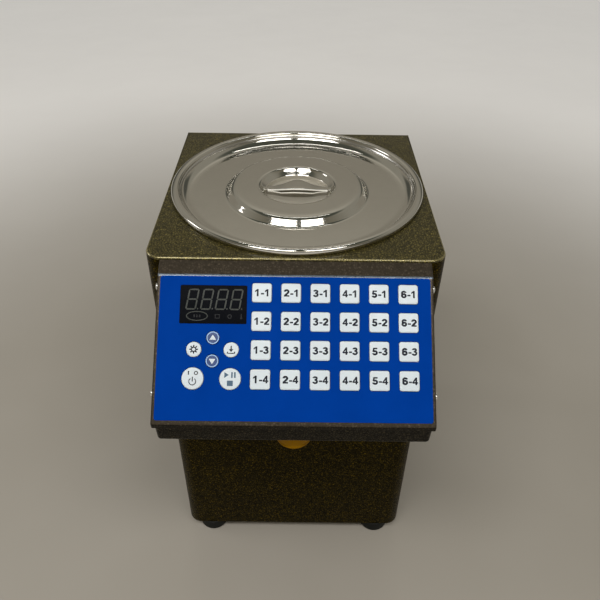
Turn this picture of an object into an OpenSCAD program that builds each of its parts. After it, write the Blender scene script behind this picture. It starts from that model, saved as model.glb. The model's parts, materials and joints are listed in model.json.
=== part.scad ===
// Countertop fructose dispenser: a sheet-metal cabinet with a lidded syrup pot in its top
// and a sloping control head that overhangs the outlet. A gear pump inside moves the syrup.
// Millimetres. +Z up, +X to the viewer's right, the control head faces -Y.
// The origin is on the floor, at the middle of the whole footprint.

/* [Cabinet] */
// Width of the cabinet
body_w = 270; // [262:1:300]
// Depth of the cabinet without the control head
body_d = 270; // [262:1:300]
// Height from the cabinet's bottom edge to the deck
body_h = 414.5; // [380:0.5:460]
// Outside radius of the two vertical front corners
corner_r = 15.5; // [8:0.5:20]
// Thickness of the cabinet sheet
sheet = 1.2; // [1:0.1:1.6]
// Height of a rubber foot
foot_h = 16; // [12:1:22]
// Radius of a rubber foot
foot_r = 18; // [12:0.5:20]

/* [Control head] */
// Width of the sloping face
head_w = 241; // [238:1:246]
// Length of the face along its slope
face_len = 128.8; // [126:0.2:134]
// Slope of the face from the horizontal, in degrees
face_slope = 42.1; // [40:0.1:44]
// How far the face's lower edge stands out from the cabinet
head_out = 108.5; // [106:0.5:112]
// How far the face's lower edge lies below the deck
face_drop = 95.3; // [94:0.1:98]
// How far the head's underside lies below the deck
head_drop = 122.5; // [118:0.5:130]

/* [Keys] */
// Side of a square dose key
key_s = 16.8; // [15:0.1:17.5]
// Distance between key columns
key_px = 25.4; // [25:0.1:25.6]
// Distance between key rows
key_py = 24.9; // [24.5:0.1:25.2]
// Gap round a key in the overlay
key_gap = 0.4; // [0.35:0.05:0.6]
// Travel of a key
key_travel = 0.5; // [0.3:0.1:0.5]

/* [Syrup pot and lid] */
// Inside radius of the pot
pot_r = 120.2; // [120.2]
// Inside depth of the pot below the deck
pot_depth = 199.5; // [160:0.5:205]
// Distance of the pot's axis behind the cabinet front
pot_y = 135; // [134:0.5:138]

/* [Pump] */
// Teeth on each pump gear
gear_n = 20; // [20]
// Gear module
gear_m = 1.1; // [1.1]
// Width of a pump gear
gear_b = 12; // [10:0.5:12]
// Outside radius of the silicone hose
hose_r = 5.5; // [5:0.1:6]
// Inside radius of the silicone hose
hose_ri = 3.6; // [3.6]
// Bend radius of the hose along its centre line
hose_bend = 18; // [17:0.5:18]

/* [Hidden] */
$fn = 96;

eps = 0.01;
zb = foot_h;                 // bottom edge of the cabinet
zt = foot_h + body_h;        // deck surface
head_t = 2.2;                // height of a screw head
y_mid = (body_d + head_t - head_out) / 2;   // middle of the footprint, behind the cabinet front
hw = body_w / 2;

// Corners of the head's side view, [Y, Z]
pB = [-head_out, zt - face_drop];
pT = [pB[0] + face_len * cos(face_slope), pB[1] + face_len * sin(face_slope)];
pA = [-0.2, zt - 2];
pC = [pB[0] + 0.6, pB[1] - 4.7];
fv = [cos(face_slope), sin(face_slope)];    // up the face
fn = [-sin(face_slope), cos(face_slope)];   // out of the face
shell_in = 1.5;                             // the shell is this much narrower at each side

// Where two lines cross, each through p along d
function cross2(a, b) = a[0] * b[1] - a[1] * b[0];
function meet(p, d, q, e) = p + d * (cross2(q - p, e) / cross2(d, e));
// The line through a and b moved by k to its right-hand side
function unit(v) = v / norm(v);
function right_of(a, b) = [unit(b - a)[1], -unit(b - a)[0]];
// Corner at b of the path a-b-c moved inward by k
function inset(a, b, c, k) = meet(a + right_of(a, b) * -k, b - a, b + right_of(b, c) * -k, c - b);

// Middle of every key on the face: across, and down from the face's upper edge
key_u0 = -29.0;
key_v0 = 15.2;
function dose_uv(c, r) = [key_u0 + (c - 1) * key_px, face_len - key_v0 - (r - 1) * key_py];
round_keys = [[-70.2, 54.9, 5.6], [-70.2, 74.7, 5.6], [-86.2, 65.0, 6.4], [-54.2, 65.0, 6.4],
  [-86.3, 89.7, 9.3], [-54.4, 89.8, 9.1]];
function round_uv(i) = [round_keys[i][0], face_len - round_keys[i][1]];
win_w = 58;  win_h = 33.8;  win_u = -70.7;  win_v = face_len - 25.9;
over_w = 233.8;  over_h = 123;  over_v = 3.9;  over_t = 0.5;

// Pump places
gear_rp = gear_n * gear_m / 2;
gear_c = 2 * gear_rp + 0.2;
pump_y0 = 72;                        // front face of the pump body
port_y = pump_y0 + 0.35 + gear_b / 2;
pump_z = 134;                        // height of the ports
drive_z = pump_z - gear_c / 2;
driven_z = pump_z + gear_c / 2;
out_x = 66;                          // pot outlet, to the right of the middle
up_x = -75;  up_y = 15;              // where the discharge hose rises
run_z = zt - 88;                     // height of the hose inside the head
noz_y = -76;                         // nozzle axis

module home() translate([0, -y_mid, 0]) children();
// Local frame of the sloping face: x across, y up the slope, z out of the face
module on_face() translate([0, pB[0], pB[1]]) rotate([face_slope, 0, 0]) children();
// A side-view outline [Y, Z] drawn out along X, from x0 to x1
module across(x0, x1) translate([x0, 0, 0]) rotate([90, 0, 90]) linear_extrude(x1 - x0) children();
module rsq(w, h, r) {
  square([w - 2 * r, h], center = true);
  square([w, h - 2 * r], center = true);
  for (x = [-1, 1], y = [-1, 1]) translate([x * (w / 2 - r), y * (h / 2 - r)]) circle(r);
}
// Cabinet outline seen from above, moved inward by k at the front and sides, and by kb at the back
module plan(k, kb) {
  r = corner_r - k;
  translate([-hw + k, corner_r]) square([body_w - 2 * k, body_d - corner_r - kb]);
  translate([-hw + corner_r, k]) square([body_w - 2 * corner_r, corner_r]);
  for (x = [-1, 1]) translate([x * (hw - corner_r), corner_r]) circle(r);
}
// Round bar along X, Y or Z from a point
module bar_x(p, len, r) translate(p) rotate([0, 90, 0]) cylinder(h = len, r = r);
module bar_y(p, len, r) translate(p) rotate([-90, 0, 0]) cylinder(h = len, r = r);
module bar_z(p, len, r) translate(p) cylinder(h = len, r = r);

// ---------- cabinet ----------
hose_hole = [up_x, run_z];
module body_wrap() home() color([0.2, 0.18, 0.1]) difference() {
  union() {
    translate([0, 0, zb]) linear_extrude(body_h - 2.7) difference() {
      plan(0, 0);
      plan(sheet, -5);
    }
    for (x = [-1, 1]) translate([x * (hw - 7.2) - 6.6, body_d - 2.8, zb + 3]) cube([13.2, 1.2, body_h - 20]);
  }
  // hose and cable pass from the cabinet into the head
  bar_y([hose_hole[0], -1, hose_hole[1]], 4, 8);
  bar_y([40, -1, run_z + 20], 4, 9);
  for (x = [-1, 1], z = [40, 160, 290, 410]) bar_y([x * (hw - 8), body_d - 4, z], 4, 2);
  for (x = [-104, 104], z = [zt - 112, zt - 30]) bar_y([x, -1, z], 4, 2);
}

module top_cover() home() color([0.29, 0.27, 0.18]) difference() {
  union() {
    translate([0, 0, zt - 2.6]) linear_extrude(2.6) plan(0, 0);
    translate([0, 0, zt - 14]) linear_extrude(12) difference() {
      plan(sheet + 0.2, 4);
      plan(2 * sheet + 0.2, -5);
    }
  }
  translate([0, 0, zt - 2.61]) linear_extrude(1.2) plan(2.6, 2.6);
  bar_z([0, pot_y, zt - 5], 10, pot_r + 2.4);
}

module rear_panel() home() color([0.2, 0.18, 0.1]) difference() {
  translate([-hw + 1.4, body_d - 1.5, zb + 0.2]) cube([body_w - 2.8, 1.5, body_h - 3.0]);
  // two fields of vent slots
  for (zz = [150, 330], i = [0 : 6], x = [-1, 1])
    translate([x * 45, body_d - 3, zz + (i - 3) * 10]) rotate([-90, 0, 0]) linear_extrude(5)
      rsq(60, 4.2, 2.05);
  translate([-85 - 15.4, body_d - 3, 32.6]) cube([30.8, 5, 62.8]);
  for (x = [-1, 1], z = [40, 160, 290, 410]) bar_y([x * (hw - 8), body_d - 3, z], 5, 2.2);
}

foot_xy = [[-105, 16.4], [105, 16.4], [-105, body_d - 20], [105, body_d - 20]];
module base_plate() home() color([0.16, 0.15, 0.1]) difference() {
  union() {
    translate([0, 0, zb]) linear_extrude(1.5) plan(1.4, 3.2);
    for (x = [-1, 1]) translate([x * (hw - 2.1) - 0.6, 24, zb + 1]) cube([1.2, body_d - 40, 15]);
    translate([-hw + 16, body_d - 4.6, zb + 1]) cube([body_w - 32, 1.2, 15]);
  }
  for (p = foot_xy) bar_z([p[0], p[1], zb - 1], 4, 2.2);
  for (i = [-4 : 4]) translate([i * 14, 225, zb - 1]) linear_extrude(4) rsq(5, 40, 2.4);
}

module rubber_feet() home() color([0.04, 0.04, 0.04]) for (p = foot_xy) translate([p[0], p[1], 0])
  rotate_extrude() polygon([[2.2, 6], [7, 6], [7, 0], [foot_r - 2.4, 0], [foot_r - 1, 0.5], [foot_r, 1.8],
    [foot_r, foot_h - 1], [foot_r - 1, foot_h], [2.2, foot_h]]);

// Pan-head screw with its head on the origin plane, shank towards -Z
module pan_screw(len) {
  rotate_extrude() polygon([[0, -len], [1.5, -len], [1.9, -len + 0.6], [1.9, 0], [3.5, 0], [3.5, 0.9],
    [3.1, 1.7], [2.2, head_t], [0.9, head_t], [0.9, 1.2], [0, 1.2]]);
}
cheek_uw = [[119.3, -6], [26.3, -6]];
module case_screws() home() color([0.75, 0.74, 0.7]) {
  for (x = [-1, 1], z = [40, 160, 290, 410])
    translate([x * (hw - 8), body_d, z]) rotate([-90, 0, 0]) pan_screw(9);
  for (c = cheek_uw, x = [-1, 1])
    on_face() translate([x * head_w / 2, c[0], c[1]]) rotate([0, x * 90, 0]) pan_screw(5);
  for (p = foot_xy) translate([p[0], p[1], 5.95]) rotate([180, 0, 0]) pan_screw(16);
  for (x = [-104, 104], z = [zt - 112, zt - 30])
    translate([x, sheet, z]) rotate([-90, 0, 0]) pan_screw(8);
}

// ---------- pot and lid ----------
module syrup_pot() home() color([0.75, 0.75, 0.74]) difference() {
  translate([0, pot_y, zt]) rotate_extrude($fn = 128) polygon([
    [0, -pot_depth - 1], [pot_r - 9, -pot_depth - 1], [pot_r - 3.4, -pot_depth + 1.5],
    [pot_r + 0.1, -pot_depth + 5.5], [pot_r + 1, -pot_depth + 10], [pot_r + 1, -2],
    [pot_r + 1.5, 0.6], [pot_r + 2.7, 2.5], [pot_r + 4.6, 3.3], [pot_r + 6.3, 2.9], [pot_r + 7, 1.9],
    [pot_r + 6.9, 0.8], [pot_r + 6.4, 0.05], [pot_r + 7.4, 0.05], [pot_r + 7.95, 1.1], [pot_r + 7.9, 2.2],
    [pot_r + 7, 3.7], [pot_r + 4.7, 4.3], [pot_r + 2.1, 3.4], [pot_r + 0.6, 1.2], [pot_r, -2],
    [pot_r, -pot_depth + 10], [pot_r - 1, -pot_depth + 6], [pot_r - 4.2, -pot_depth + 2.4],
    [pot_r - 9, -pot_depth], [0, -pot_depth]]);
  bar_z([out_x, port_y, zt - pot_depth - 3], 6, 8.1);
}

module lid() home() color([0.8, 0.79, 0.76]) translate([0, pot_y, zt]) rotate_extrude($fn = 128) polygon([
  [0, -9.5], [26.5, -9.5], [30, -8.8], [32, -7], [33.6, -3.6], [35, -0.6], [36.4, 1.1], [38.2, 1.9],
  [40.5, 2.1], [60, 2.1], [64.5, 1.95], [67, 1.35], [68.5, 0.3], [72.4, -3.6], [73.6, -4.4], [75.5, -4.6],
  [112, -4.6], [115.5, -4.5], [117.2, -3.9], [118, -2.6], [118.9, 0.2], [119.8, 2.9], [120.9, 4.5],
  [122.6, 5.3], [125.2, 5.5], [127.8, 5.2], [129.6, 4.3], [130.6, 2.9], [130.8, 1.6], [130.4, 0.9],
  [129.8, 0.7], [129.9, 1.7], [129.6, 2.9], [128.8, 3.7], [127.4, 4.3], [125.2, 4.6], [122.9, 4.4],
  [121.6, 3.8], [120.7, 2.6], [119.8, -0.1], [118.9, -2.9], [117.9, -4.6], [115.8, -5.4], [112, -5.5],
  [75.2, -5.5], [73, -5.2], [71.7, -4.2], [67.9, -0.4], [66.4, 0.6], [64.3, 1.05], [60, 1.2], [40.7, 1.2],
  [38.6, 1], [37.1, 0.4], [35.8, -1], [34.4, -4], [32.7, -7.5], [30.4, -9.6], [26.6, -10.4], [0, -10.4]]);

// Arched strap across the recess of the lid, wide in the middle and narrow at both ends,
// with both long edges turned down
strap_l = 33.9;
strap_t = 1.1;
function bow(x) = 1 / (1 + pow(abs(x) / 12, 2.6));
function swell(x) = (bow(x) - bow(strap_l)) / (1 - bow(strap_l));
function strap_z(x) = -2.6 + 4.7 * swell(x);
function strap_y(x) = 3.6 + 8.9 * swell(x);
function hem(x) = 2.1 * min(1, 4 * swell(x));
// Places along the strap, from end to end but for n steps at each end
function along(n) = [for (i = [n - 16 : 16 - n]) i * strap_l / 16];
function back(v) = [for (i = [len(v) - 1 : -1 : 0]) v[i]];
module strap_plan(n, k) translate([0, 0, -12]) linear_extrude(20)
  polygon(concat([for (x = along(n)) [x, k - strap_y(x)]], [for (x = back(along(n))) [x, strap_y(x) - k]]));
module strap_side(top, low) translate([0, 16, 0]) rotate([90, 0, 0]) linear_extrude(32) polygon(concat(top, back(low)));
module lid_handle() home() color([0.8, 0.79, 0.76]) translate([0, pot_y, zt]) difference() {
  intersection() {
    strap_side([for (x = along(0)) [x, strap_z(x)]], [for (x = along(0)) [x, strap_z(x) - strap_t - hem(x)]]);
    strap_plan(0, 0);
  }
  intersection() {
    strap_side([for (x = along(1)) [x, strap_z(x) - strap_t]], [for (x = along(1)) [x, -9]]);
    strap_plan(1, strap_t);
  }
}

module heater_band() home() color([0.75, 0.3, 0.12]) translate([0, pot_y, zt - 175]) difference() {
  union() {
    cylinder(h = 70, r = pot_r + 3.4, $fn = 128);
    translate([-14, -pot_r - 6, 20]) cube([28, 10, 24]);
  }
  translate([0, 0, -1]) cylinder(h = 72, r = pot_r + 1.15, $fn = 128);
  translate([-1.5, pot_r - 4, -1]) cube([3, 10, 72]);
}

module thermostat() home() color([0.85, 0.84, 0.8]) translate([-40, pot_y, zt - pot_depth - 1]) {
  translate([0, 0, -7]) cylinder(h = 6, r = 8);
  translate([0, 0, -1]) cylinder(h = 1, r = 11);
  for (x = [-1, 1]) translate([x * 4 - 0.4, -3, -13]) cube([0.8, 6, 6.1]);
}

module pot_outlet() home() color([0.8, 0.78, 0.72]) translate([out_x, port_y, zt - pot_depth]) difference() {
  union() {
    cylinder(h = 2.4, r = 13);
    translate([0, 0, -14]) cylinder(h = 14.2, r = 8);
    translate([0, 0, -8.1]) cylinder(h = 7, r = 13, $fn = 6);
    translate([0, 0, -17]) cylinder(h = 3, r = 6);
    translate([0, 0, -33]) cylinder(h = 16.1, r = 3.5);
  }
  translate([0, 0, -34]) cylinder(h = 40, r = 2.5);
}

// ---------- hoses ----------
// Quarter bend: enters along +X at the origin and leaves along +Y
module bend() translate([0, hose_bend, 0]) rotate([0, 0, -90]) rotate_extrude(angle = 90)
  translate([hose_bend, 0]) difference() { circle(hose_r); circle(hose_ri); }
module pipe(len) rotate([0, 90, 0]) linear_extrude(len) difference() { circle(hose_r); circle(hose_ri); }
hb = hose_bend;

module suction_hose() home() color([0.85, 0.86, 0.86]) {
  // down from the pot outlet, then to the left into the pump
  translate([out_x, port_y, zt - pot_depth - 18]) rotate([0, 90, 0]) pipe(zt - pot_depth - 18 - pump_z - hb);
  translate([out_x, port_y, pump_z + hb]) rotate([0, 90, 0]) rotate([-90, 0, 0]) bend();
  translate([31, port_y, pump_z]) pipe(out_x - hb - 31);
}

module discharge_hose() home() color([0.85, 0.86, 0.86]) {
  translate([up_x + hb, port_y, pump_z]) pipe(-31 - up_x - hb);
  translate([up_x + hb, port_y, pump_z]) rotate([0, 0, 180]) bend();
  translate([up_x, up_y + hb, pump_z]) rotate([0, 0, 90]) pipe(port_y - up_y - 2 * hb);
  translate([up_x, up_y + hb, pump_z]) rotate([0, 0, -90]) rotate([90, 0, 0]) bend();
  translate([up_x, up_y, pump_z + hb]) rotate([0, -90, 0]) pipe(run_z - pump_z - 2 * hb);
  translate([up_x, up_y, run_z - hb]) rotate([0, -90, 0]) rotate([180, 0, 0]) bend();
  translate([up_x, noz_y + hb, run_z]) rotate([0, 0, 90]) pipe(up_y - noz_y - 2 * hb);
  translate([up_x, noz_y + hb, run_z]) rotate([0, 0, -90]) bend();
  translate([up_x + hb, noz_y, run_z]) pipe(-up_x - 2 * hb);
  translate([-hb, noz_y, run_z]) rotate([-90, 0, 0]) bend();
  translate([0, noz_y, zt - head_drop + 7]) rotate([0, -90, 0]) pipe(run_z - hb - zt + head_drop - 7);
}

// Worm-drive clamp whose band is round the Z axis
module clamp() {
  difference() {
    union() {
      cylinder(h = 7, r = hose_r + 1);
      translate([hose_r - 1, -4, -0.5]) cube([6.5, 8, 8]);
    }
    translate([0, 0, -1]) cylinder(h = 9, r = hose_r + 0.1);
  }
}
module hose_clamps() home() color([0.7, 0.7, 0.7]) {
  translate([out_x, port_y, zt - pot_depth - 30]) clamp();
  translate([34, port_y, pump_z]) rotate([0, 90, 0]) clamp();
  translate([-41, port_y, pump_z]) rotate([0, 90, 0]) clamp();
  translate([0, noz_y, zt - head_drop + 8]) clamp();
}

// ---------- pump ----------
function inv(a) = tan(a) * 180 / PI - a;
g_rb = gear_rp * cos(20);
g_ro = gear_rp + gear_m;
g_rr = gear_rp - 1.27 * gear_m;
function half(r) = 90 / gear_n - 0.35 + inv(20) - inv(acos(g_rb / r));
function pol(r, a) = [r * cos(a), r * sin(a)];
function tooth(c) = concat(
  [pol(g_rr, c - half(g_rb))],
  [for (i = [0 : 5]) let (r = g_rb + 0.001 + (g_ro - g_rb - 0.001) * i / 5) pol(r, c - half(r))],
  [for (i = [5 : -1 : 0]) let (r = g_rb + 0.001 + (g_ro - g_rb - 0.001) * i / 5) pol(r, c + half(r))],
  [pol(g_rr, c + half(g_rb))]);
module gear(turn) rotate([-90, 0, 0]) rotate([0, 0, turn]) linear_extrude(gear_b)
  polygon([for (i = [0 : gear_n - 1]) each tooth(i * 360 / gear_n)]);

module drive_gear() home() color([0.78, 0.78, 0.76]) {
  translate([0, pump_y0 + 0.35, drive_z]) gear(0);
  bar_y([0, pump_y0 - 4.6, drive_z], 60, 3);
}
module driven_gear() home() color([0.78, 0.78, 0.76]) {
  translate([0, pump_y0 + 0.35, driven_z]) gear(180 / gear_n);
  bar_y([0, pump_y0 - 4.6, driven_z], 24.6, 3);
}
module pump_body() home() color([0.72, 0.73, 0.74]) difference() {
  union() {
    translate([0, pump_y0, pump_z]) rotate([-90, 0, 0]) linear_extrude(28) rsq(48, 68, 6);
    for (s = [-1, 1]) {
      bar_x([s > 0 ? 23 : -30, port_y, pump_z], 7, 6.2);
      bar_x([s > 0 ? 29 : -44, port_y, pump_z], 15, 3.5);
    }
  }
  for (z = [drive_z, driven_z]) bar_y([0, pump_y0 - 1, z], gear_b + 1.7, g_ro + 0.35);
  bar_y([0, pump_y0, drive_z], 40, 3.05);
  bar_y([0, pump_y0, driven_z], 20.35, 3.05);
  for (s = [-1, 1]) bar_x([s > 0 ? 0 : -50, port_y, pump_z], 50, 2.5);
  for (x = [-19, 19], z = [-29, 29]) bar_y([x, pump_y0 - 1, pump_z + z], 10, 1.6);
}
module pump_cover() home() color([0.72, 0.73, 0.74]) difference() {
  union() {
    translate([0, pump_y0 - 8, pump_z]) rotate([-90, 0, 0]) linear_extrude(8) rsq(48, 68, 6);
    // four cap screws that hold the cover
    for (x = [-19, 19], z = [-29, 29]) {
      bar_y([x, pump_y0 - 11, pump_z + z], 3.1, 2.75);
      bar_y([x, pump_y0 - 0.1, pump_z + z], 8, 1.5);
    }
  }
  for (z = [drive_z, driven_z]) bar_y([0, pump_y0 - 5, z], 6, 3.05);
  for (x = [-19, 19], z = [-29, 29]) bar_y([x, pump_y0 - 12, pump_z + z], 2.5, 1.3, $fn = 6);
}
module pump_bracket() home() color([0.6, 0.6, 0.6]) difference() {
  union() {
    translate([-34, pump_y0 + 28, zb + 1.5]) cube([68, 2.5, 152]);
    translate([-34, pump_y0 + 28, zb + 1.5]) cube([68, 60, 2.5]);
    for (x = [-34, 31.5]) translate([x, pump_y0 + 30, zb + 3]) rotate([90, 0, 90]) linear_extrude(2.5)
      polygon([[0, 0], [50, 0], [0, 60]]);
  }
  bar_y([0, pump_y0 + 20, drive_z], 20, 4);
  for (x = [-26, 26]) bar_z([x, pump_y0 + 70, zb], 8, 2.2);
}
module gear_motor() home() color([0.55, 0.56, 0.58]) difference() {
  union() {
    bar_y([0, pump_y0 + 30.5, drive_z], 30, 22);
    bar_y([0, pump_y0 + 60, drive_z], 68, 18);
    bar_y([0, pump_y0 + 128, drive_z], 4, 6);
    for (x = [-9, 9]) translate([x - 2.4, pump_y0 + 127.9, drive_z - 3]) cube([0.8, 8, 6]);
  }
  bar_y([0, pump_y0 + 25, drive_z], 32, 3.05);
}

module nozzle() home() color([0.85, 0.5, 0.05]) translate([0, noz_y, zt - head_drop]) difference() {
  rotate_extrude() polygon([[2.6, -17], [3.6, -17], [4.6, -6], [12.5, -3.4], [14.1, -6], [14.2, -22.8],
    [16.6, -22.8], [16.6, -21.2], [16, -20.6], [16, -1.5], [15, -0.1], [11.8, -0.1], [11.8, 4.6],
    [9, 5.6], [3.5, 6], [3.5, 15.6], [2.6, 15.6]]);
  translate([0, 0, -30]) cylinder(h = 60, r = 2.5);
}

// ---------- control head ----------
sh_x = head_w / 2 - shell_in;
qT = inset(pA, pT, pB, 2.8);
qB = inset(pT, pB, pC, 2.8);
module head_shell() home() color([0.14, 0.13, 0.08]) difference() {
  across(-sh_x, sh_x) polygon([[-0.1, zt - 5.2], qT, qB, [pB[0] + 3.4, pC[1] - 0.2],
    [-head_out + 6.3, zt - head_drop], [-0.1, zt - head_drop]]);
  across(-sh_x + sheet, sh_x - sheet) polygon([[-0.1 - sheet, zt], [pT[0], zt], pT + fn * 2,
    pB + fn * 2 - fv * 6, [pB[0] + 3.4 + sheet, pC[1] + 3], [pB[0] + 3.4 + sheet, pC[1] - 0.2],
    [-head_out + 6.3 + sheet, zt - head_drop + sheet], [-0.1 - sheet, zt - head_drop + sheet]]);
  bar_y([hose_hole[0], -5, hose_hole[1]], 6, 8);
  bar_y([40, -5, run_z + 20], 6, 9);
  bar_z([0, noz_y, zt - head_drop - 2], 5, 12);
  for (x = [-104, 104], z = [zt - 112, zt - 30]) bar_y([x, -5, z], 6, 2);
  on_face() for (c = cheek_uw) translate([-sh_x - 1, c[0], c[1]]) rotate([0, 90, 0]) cylinder(h = 2 * sh_x + 2, r = 2);
}

module key_holes(d) {
  for (c = [1 : 6], r = [1 : 4]) translate([dose_uv(c, r)[0], dose_uv(c, r)[1], -5]) linear_extrude(10)
    rsq(key_s + 2 * d, key_s + 2 * d, 2 + d);
  for (i = [0 : 5]) translate([round_uv(i)[0], round_uv(i)[1], -5]) cylinder(h = 10, r = round_keys[i][2] + d);
  translate([win_u, win_v, -5]) linear_extrude(10) rsq(win_w, win_h, 1);
}
module face_cover() home() color([0.16, 0.14, 0.08]) difference() {
  union() {
    // one bent sheet: upper band, face and lower lip
    across(-head_w / 2, head_w / 2) polygon([pA, pT, pB, pC, pC + [sheet, 0],
      inset(pT, pB, pC, sheet), inset(pA, pT, pB, sheet), pA - [0, sheet]]);
    // side cheeks
    for (x = [-head_w / 2, head_w / 2 - sheet]) across(x, x + sheet)
      polygon([pA, pT, pB, pC, [pC[0] + 16, pC[1]], pB - fn * 14 + fv * 9, pT - fn * 14, pA - [0, 14]]);
  }
  on_face() key_holes(key_gap);
  on_face() for (c = cheek_uw) translate([-head_w / 2 - 1, c[0], c[1]]) rotate([0, 90, 0]) cylinder(h = head_w + 2, r = 2.1);
}
module overlay() home() color([0.0, 0.22, 0.6]) on_face() difference() {
  translate([0, over_v + over_h / 2, 0]) linear_extrude(over_t) rsq(over_w, over_h, 3);
  key_holes(key_gap);
}
module display_window() home() color([0.05, 0.05, 0.05]) on_face()
  translate([win_u, win_v, -1.4]) linear_extrude(1.4 + over_t) rsq(win_w - 0.1, win_h - 0.1, 0.95);

module control_board() home() color([0.05, 0.35, 0.15]) on_face() difference() {
  union() {
    translate([0, 64, -8.4]) linear_extrude(1.6) rsq(226, 118, 2);
    translate([win_u - 26, win_v - 15, -6.9]) cube([52, 30, 4.9]);
    for (c = [1 : 6], r = [1 : 4]) translate([dose_uv(c, r)[0], dose_uv(c, r)[1], -6.9]) tact();
    for (i = [0 : 5]) translate([round_uv(i)[0], round_uv(i)[1], -6.9]) tact();
    for (x = [-110.9, 110.9], v = [10, 118]) translate([x, v, -6.9]) cylinder(h = 5.6, r = 2.5);
    translate([-20, 84, -11.4]) cube([16, 16, 3.1]);
    translate([30, 90, -14.4]) cube([30, 12, 6.1]);
    translate([80, 92, -16.4]) cylinder(h = 8.1, r = 5);
    translate([94, 92, -16.4]) cylinder(h = 8.1, r = 5);
  }
  for (x = [-110.9, 110.9], v = [10, 118]) translate([x, v, -9]) cylinder(h = 6, r = 1.25);
}
// Tactile switch: square case and round plunger
module tact() {
  translate([-3, -3, 0]) cube([6, 6, 1.4]);
  cylinder(h = 6.9 - 4 - key_travel - 0.3, r = 1.7);
}

// Key cap with a retaining skirt behind the face and a stem for its switch
module square_key(c, r) home() color([0.93, 0.94, 0.95]) on_face() translate([dose_uv(c, r)[0], dose_uv(c, r)[1], 0]) {
  translate([0, 0, -1.6]) linear_extrude(2.5) rsq(key_s, key_s, 2);
  translate([0, 0, -2.4]) linear_extrude(0.85) rsq(key_s + 2.2, key_s + 2.2, 2.5);
  translate([0, 0, -4]) cylinder(h = 1.7, r = 2.5);
}
module round_key(i) home() color(i < 2 ? [0.05, 0.25, 0.6] : [0.93, 0.94, 0.95]) on_face()
  translate([round_uv(i)[0], round_uv(i)[1], 0]) {
    translate([0, 0, -1.6]) cylinder(h = 2.5, r = round_keys[i][2]);
    translate([0, 0, -2.4]) cylinder(h = 0.85, r = round_keys[i][2] + 1.1);
    translate([0, 0, -4]) cylinder(h = 1.7, r = 2.5);
  }

// ---------- electrics ----------
module power_supply() home() color([0.7, 0.71, 0.7]) difference() {
  union() {
    translate([42, 145, zb + 8]) cube([76, 100, 38]);
    for (x = [50, 110], y = [152, 238]) bar_z([x, y, zb + 1.5], 7, 4);
    translate([46, 137, zb + 10]) cube([68, 8.1, 12]);
  }
  for (i = [0 : 6], j = [0 : 4]) bar_z([52 + j * 14, 158 + i * 12, zb + 44], 5, 3);
}

in_x = -85;  in_z = 52;  rk_z = 83;  rk_y = body_d - 3;
module power_inlet() home() color([0.06, 0.06, 0.06]) difference() {
  union() {
    translate([in_x, body_d - 28, (33 + 95) / 2]) rotate([-90, 0, 0]) linear_extrude(29) rsq(30.4, 62, 2);
    translate([in_x, body_d, (33 + 95) / 2]) rotate([-90, 0, 0]) linear_extrude(2) rsq(38, 74, 4);
    for (x = [-9, 0, 9]) translate([in_x + x - 2.4, body_d - 36, in_z - 4]) cube([4.8, 8.1, 0.8]);
  }
  // socket with three blades left standing
  difference() {
    translate([in_x, body_d - 14, in_z]) rotate([-90, 0, 0]) linear_extrude(20) rsq(26, 18, 3);
    for (p = [[-6, -1.8], [6, -1.8], [0, 2.2]])
      translate([in_x + p[0] - 1, body_d - 15, in_z + p[1] - 2]) cube([2, 15, 4]);
  }
  // well for the rocker
  translate([in_x - 10.5, body_d - 14, rk_z - 9.6]) cube([21, 22, 19.2]);
  bar_x([in_x - 12.5, rk_y, rk_z], 25, 1.55);
}
module rocker() home() color([0.1, 0.1, 0.1]) translate([in_x, rk_y, rk_z]) {
  rotate([10, 0, 0]) rotate([0, 0, 180]) across(-10.1, 10.1)
    polygon([[-3.8, -8.2], [-3.2, -8.4], [5, -8.2], [5, 8.2], [-3.2, 8.4], [-3.8, 8.2], [-2.6, 3], [-2.4, 0], [-2.6, -3]]);
  bar_x([-12.2, 0, 0], 24.4, 1.5);
}

body_wrap();
top_cover();
rear_panel();
base_plate();
rubber_feet();
case_screws();
syrup_pot();
lid();
lid_handle();
heater_band();
thermostat();
pot_outlet();
suction_hose();
hose_clamps();
pump_body();
pump_cover();
drive_gear();
driven_gear();
gear_motor();
pump_bracket();
discharge_hose();
nozzle();
head_shell();
face_cover();
overlay();
display_window();
control_board();
power_supply();
power_inlet();
rocker();
square_key(1, 1);  // dose_key_1_1
square_key(1, 2);  // dose_key_1_2
square_key(1, 3);  // dose_key_1_3
square_key(1, 4);  // dose_key_1_4
square_key(2, 1);  // dose_key_2_1
square_key(2, 2);  // dose_key_2_2
square_key(2, 3);  // dose_key_2_3
square_key(2, 4);  // dose_key_2_4
square_key(3, 1);  // dose_key_3_1
square_key(3, 2);  // dose_key_3_2
square_key(3, 3);  // dose_key_3_3
square_key(3, 4);  // dose_key_3_4
square_key(4, 1);  // dose_key_4_1
square_key(4, 2);  // dose_key_4_2
square_key(4, 3);  // dose_key_4_3
square_key(4, 4);  // dose_key_4_4
square_key(5, 1);  // dose_key_5_1
square_key(5, 2);  // dose_key_5_2
square_key(5, 3);  // dose_key_5_3
square_key(5, 4);  // dose_key_5_4
square_key(6, 1);  // dose_key_6_1
square_key(6, 2);  // dose_key_6_2
square_key(6, 3);  // dose_key_6_3
square_key(6, 4);  // dose_key_6_4
round_key(0);  // up_key
round_key(1);  // down_key
round_key(2);  // set_key
round_key(3);  // save_key
round_key(4);  // power_key
round_key(5);  // stop_key
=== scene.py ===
import json
import math
import bmesh
import bpy
import numpy as np
from math import cos, pi, radians, sin, sqrt
from mathutils import Matrix, Vector
from mathutils.geometry import tessellate_polygon


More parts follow.
